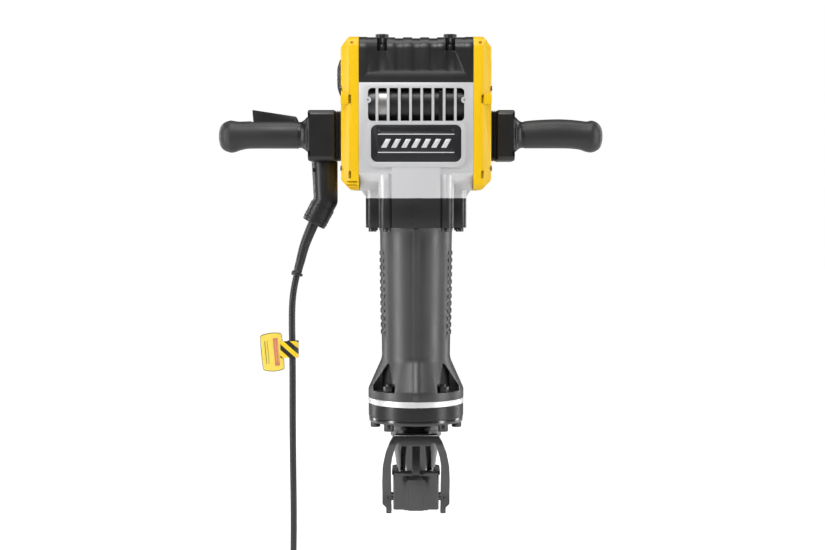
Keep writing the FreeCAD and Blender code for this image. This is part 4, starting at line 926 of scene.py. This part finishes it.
def tag_sheet(name, corners, front, grow, arch):
    """Thin rounded sheet with arched top and bottom edges, curling slightly."""
    rows, columns = 14, 12
    bm = bmesh.new()
    points = [Vector(c) for c in corners]
    middle = (points[0] + points[1] + points[2] + points[3]) / 4
    grid = []
    for side in (0, 1):
        sheet = []
        for i in range(rows + 1):
            row = []
            for j in range(columns + 1):
                u, v = j / columns, i / rows
                bulge = arch * (1 - (2 * u - 1) ** 2) * (2 * v - 1)
                trim = 1 - 0.035 * (2 * u - 1) ** 10 * (2 * v - 1) ** 10
                away = (panel_point(points, u, v) - middle) * trim
                place = middle + away * (1 + grow / max(0.001, away.length))
                y = front + TAG_CURL * (2 * u - 1) ** 2 + side * TAG_THICKNESS
                row.append(bm.verts.new((place.x, y, place.y + bulge)))
            sheet.append(row)
        grid.append(sheet)
    for side, sheet in enumerate(grid):
        for i in range(rows):
            for j in range(columns):
                quad = (sheet[i][j], sheet[i][j + 1], sheet[i + 1][j + 1], sheet[i + 1][j])
                bm.faces.new(quad if side == 0 else tuple(reversed(quad)))
    edge = [(0, j) for j in range(columns)] + [(i, columns) for i in range(rows)]
    edge += [(rows, columns - j) for j in range(columns)] + [(rows - i, 0) for i in range(rows)]
    for k, (i, j) in enumerate(edge):
        m, n = edge[(k + 1) % len(edge)]
        bm.faces.new((grid[0][i][j], grid[1][i][j], grid[1][m][n], grid[0][m][n]))
    return add_object(name, mesh_from(name, bm))


def band(name, path, low_z, high_z, thickness):
    """Strip standing along Z that follows (x, y) points."""
    bm = bmesh.new()
    rows = []
    for i, (x, y) in enumerate(path):
        before = Vector(path[max(0, i - 1)])
        after = Vector(path[min(len(path) - 1, i + 1)])
        out = (after - before).normalized()
        normal = Vector((out.y, -out.x)) * thickness
        rows.append([bm.verts.new((x, y, low_z)), bm.verts.new((x, y, high_z)),
                     bm.verts.new((x + normal.x, y + normal.y, high_z)),
                     bm.verts.new((x + normal.x, y + normal.y, low_z))])
    for a, b in zip(rows, rows[1:]):
        for k in range(4):
            bm.faces.new((a[k], b[k], b[(k + 1) % 4], a[(k + 1) % 4]))
    bm.faces.new(rows[0])
    bm.faces.new(list(reversed(rows[-1])))
    return add_object(name, mesh_from(name, bm))


def make_coil_tie():
    """Hook-and-loop tie round the wound turns."""
    angle = math.radians(TIE_ANGLE)
    radial = Vector((math.cos(angle), math.sin(angle), 0))
    along = Vector((-math.sin(angle), math.cos(angle), 0))
    centre = Vector((*COIL_CENTRE, 0)) + radial * (COIL_INNER_R + COIL_OUTER_R) / 2
    half = (COIL_OUTER_R - COIL_INNER_R) / 2 + CORD_DIAMETER / 2
    high = COIL_HIGH + CORD_DIAMETER / 2
    loops = []
    for grow, clearance in ((0.0003, 0.0004), (0.0014, 0.0002)):
        loop = rounded_loop(0, half + grow, GROUND_Z + clearance, high + grow, 0.0035)
        loops.append([(p.y, p.z) for p in loop])
    bm = bmesh.new()
    rings = []
    for offset in (-TIE_HALF_WIDTH, TIE_HALF_WIDTH):
        for loop in loops:
            places = [centre + along * offset + radial * r + Vector((0, 0, z)) for r, z in loop]
            rings.append([bm.verts.new(place) for place in places])
    count = len(rings[0])
    for a, b in ((0, 1), (1, 3), (3, 2), (2, 0)):
        for k in range(count):
            bm.faces.new((rings[a][k], rings[a][(k + 1) % count], rings[b][(k + 1) % count], rings[b][k]))
    tie = add_object("coil_tie", mesh_from("coil_tie", bm))
    finish_piece(tie, "left_handle", "rubber", angle=50)
    return tie


# ---- making ----------------------------------------------------------------------------------
make_camera()
make_stage()
make_lights()
dress_nodes()
lead = make_cord()
relief = make_strain_relief()
tag = make_tag()
tie = make_coil_tie()
for node, width in SOFTENED.items():
    make_softened(node, width)
for side_name, side in (("left", -1), ("right", 1)):
    make_grip(side_name, side)
    make_bellows(side_name, side)
    make_springs(side_name)
    make_handle_block(side_name)
make_latch()
make_outlet_cap()
make_badge_motif()
make_motor_shroud()
# painted shade over the gear plate's edge behind the grille
make_plate_shade_strip()
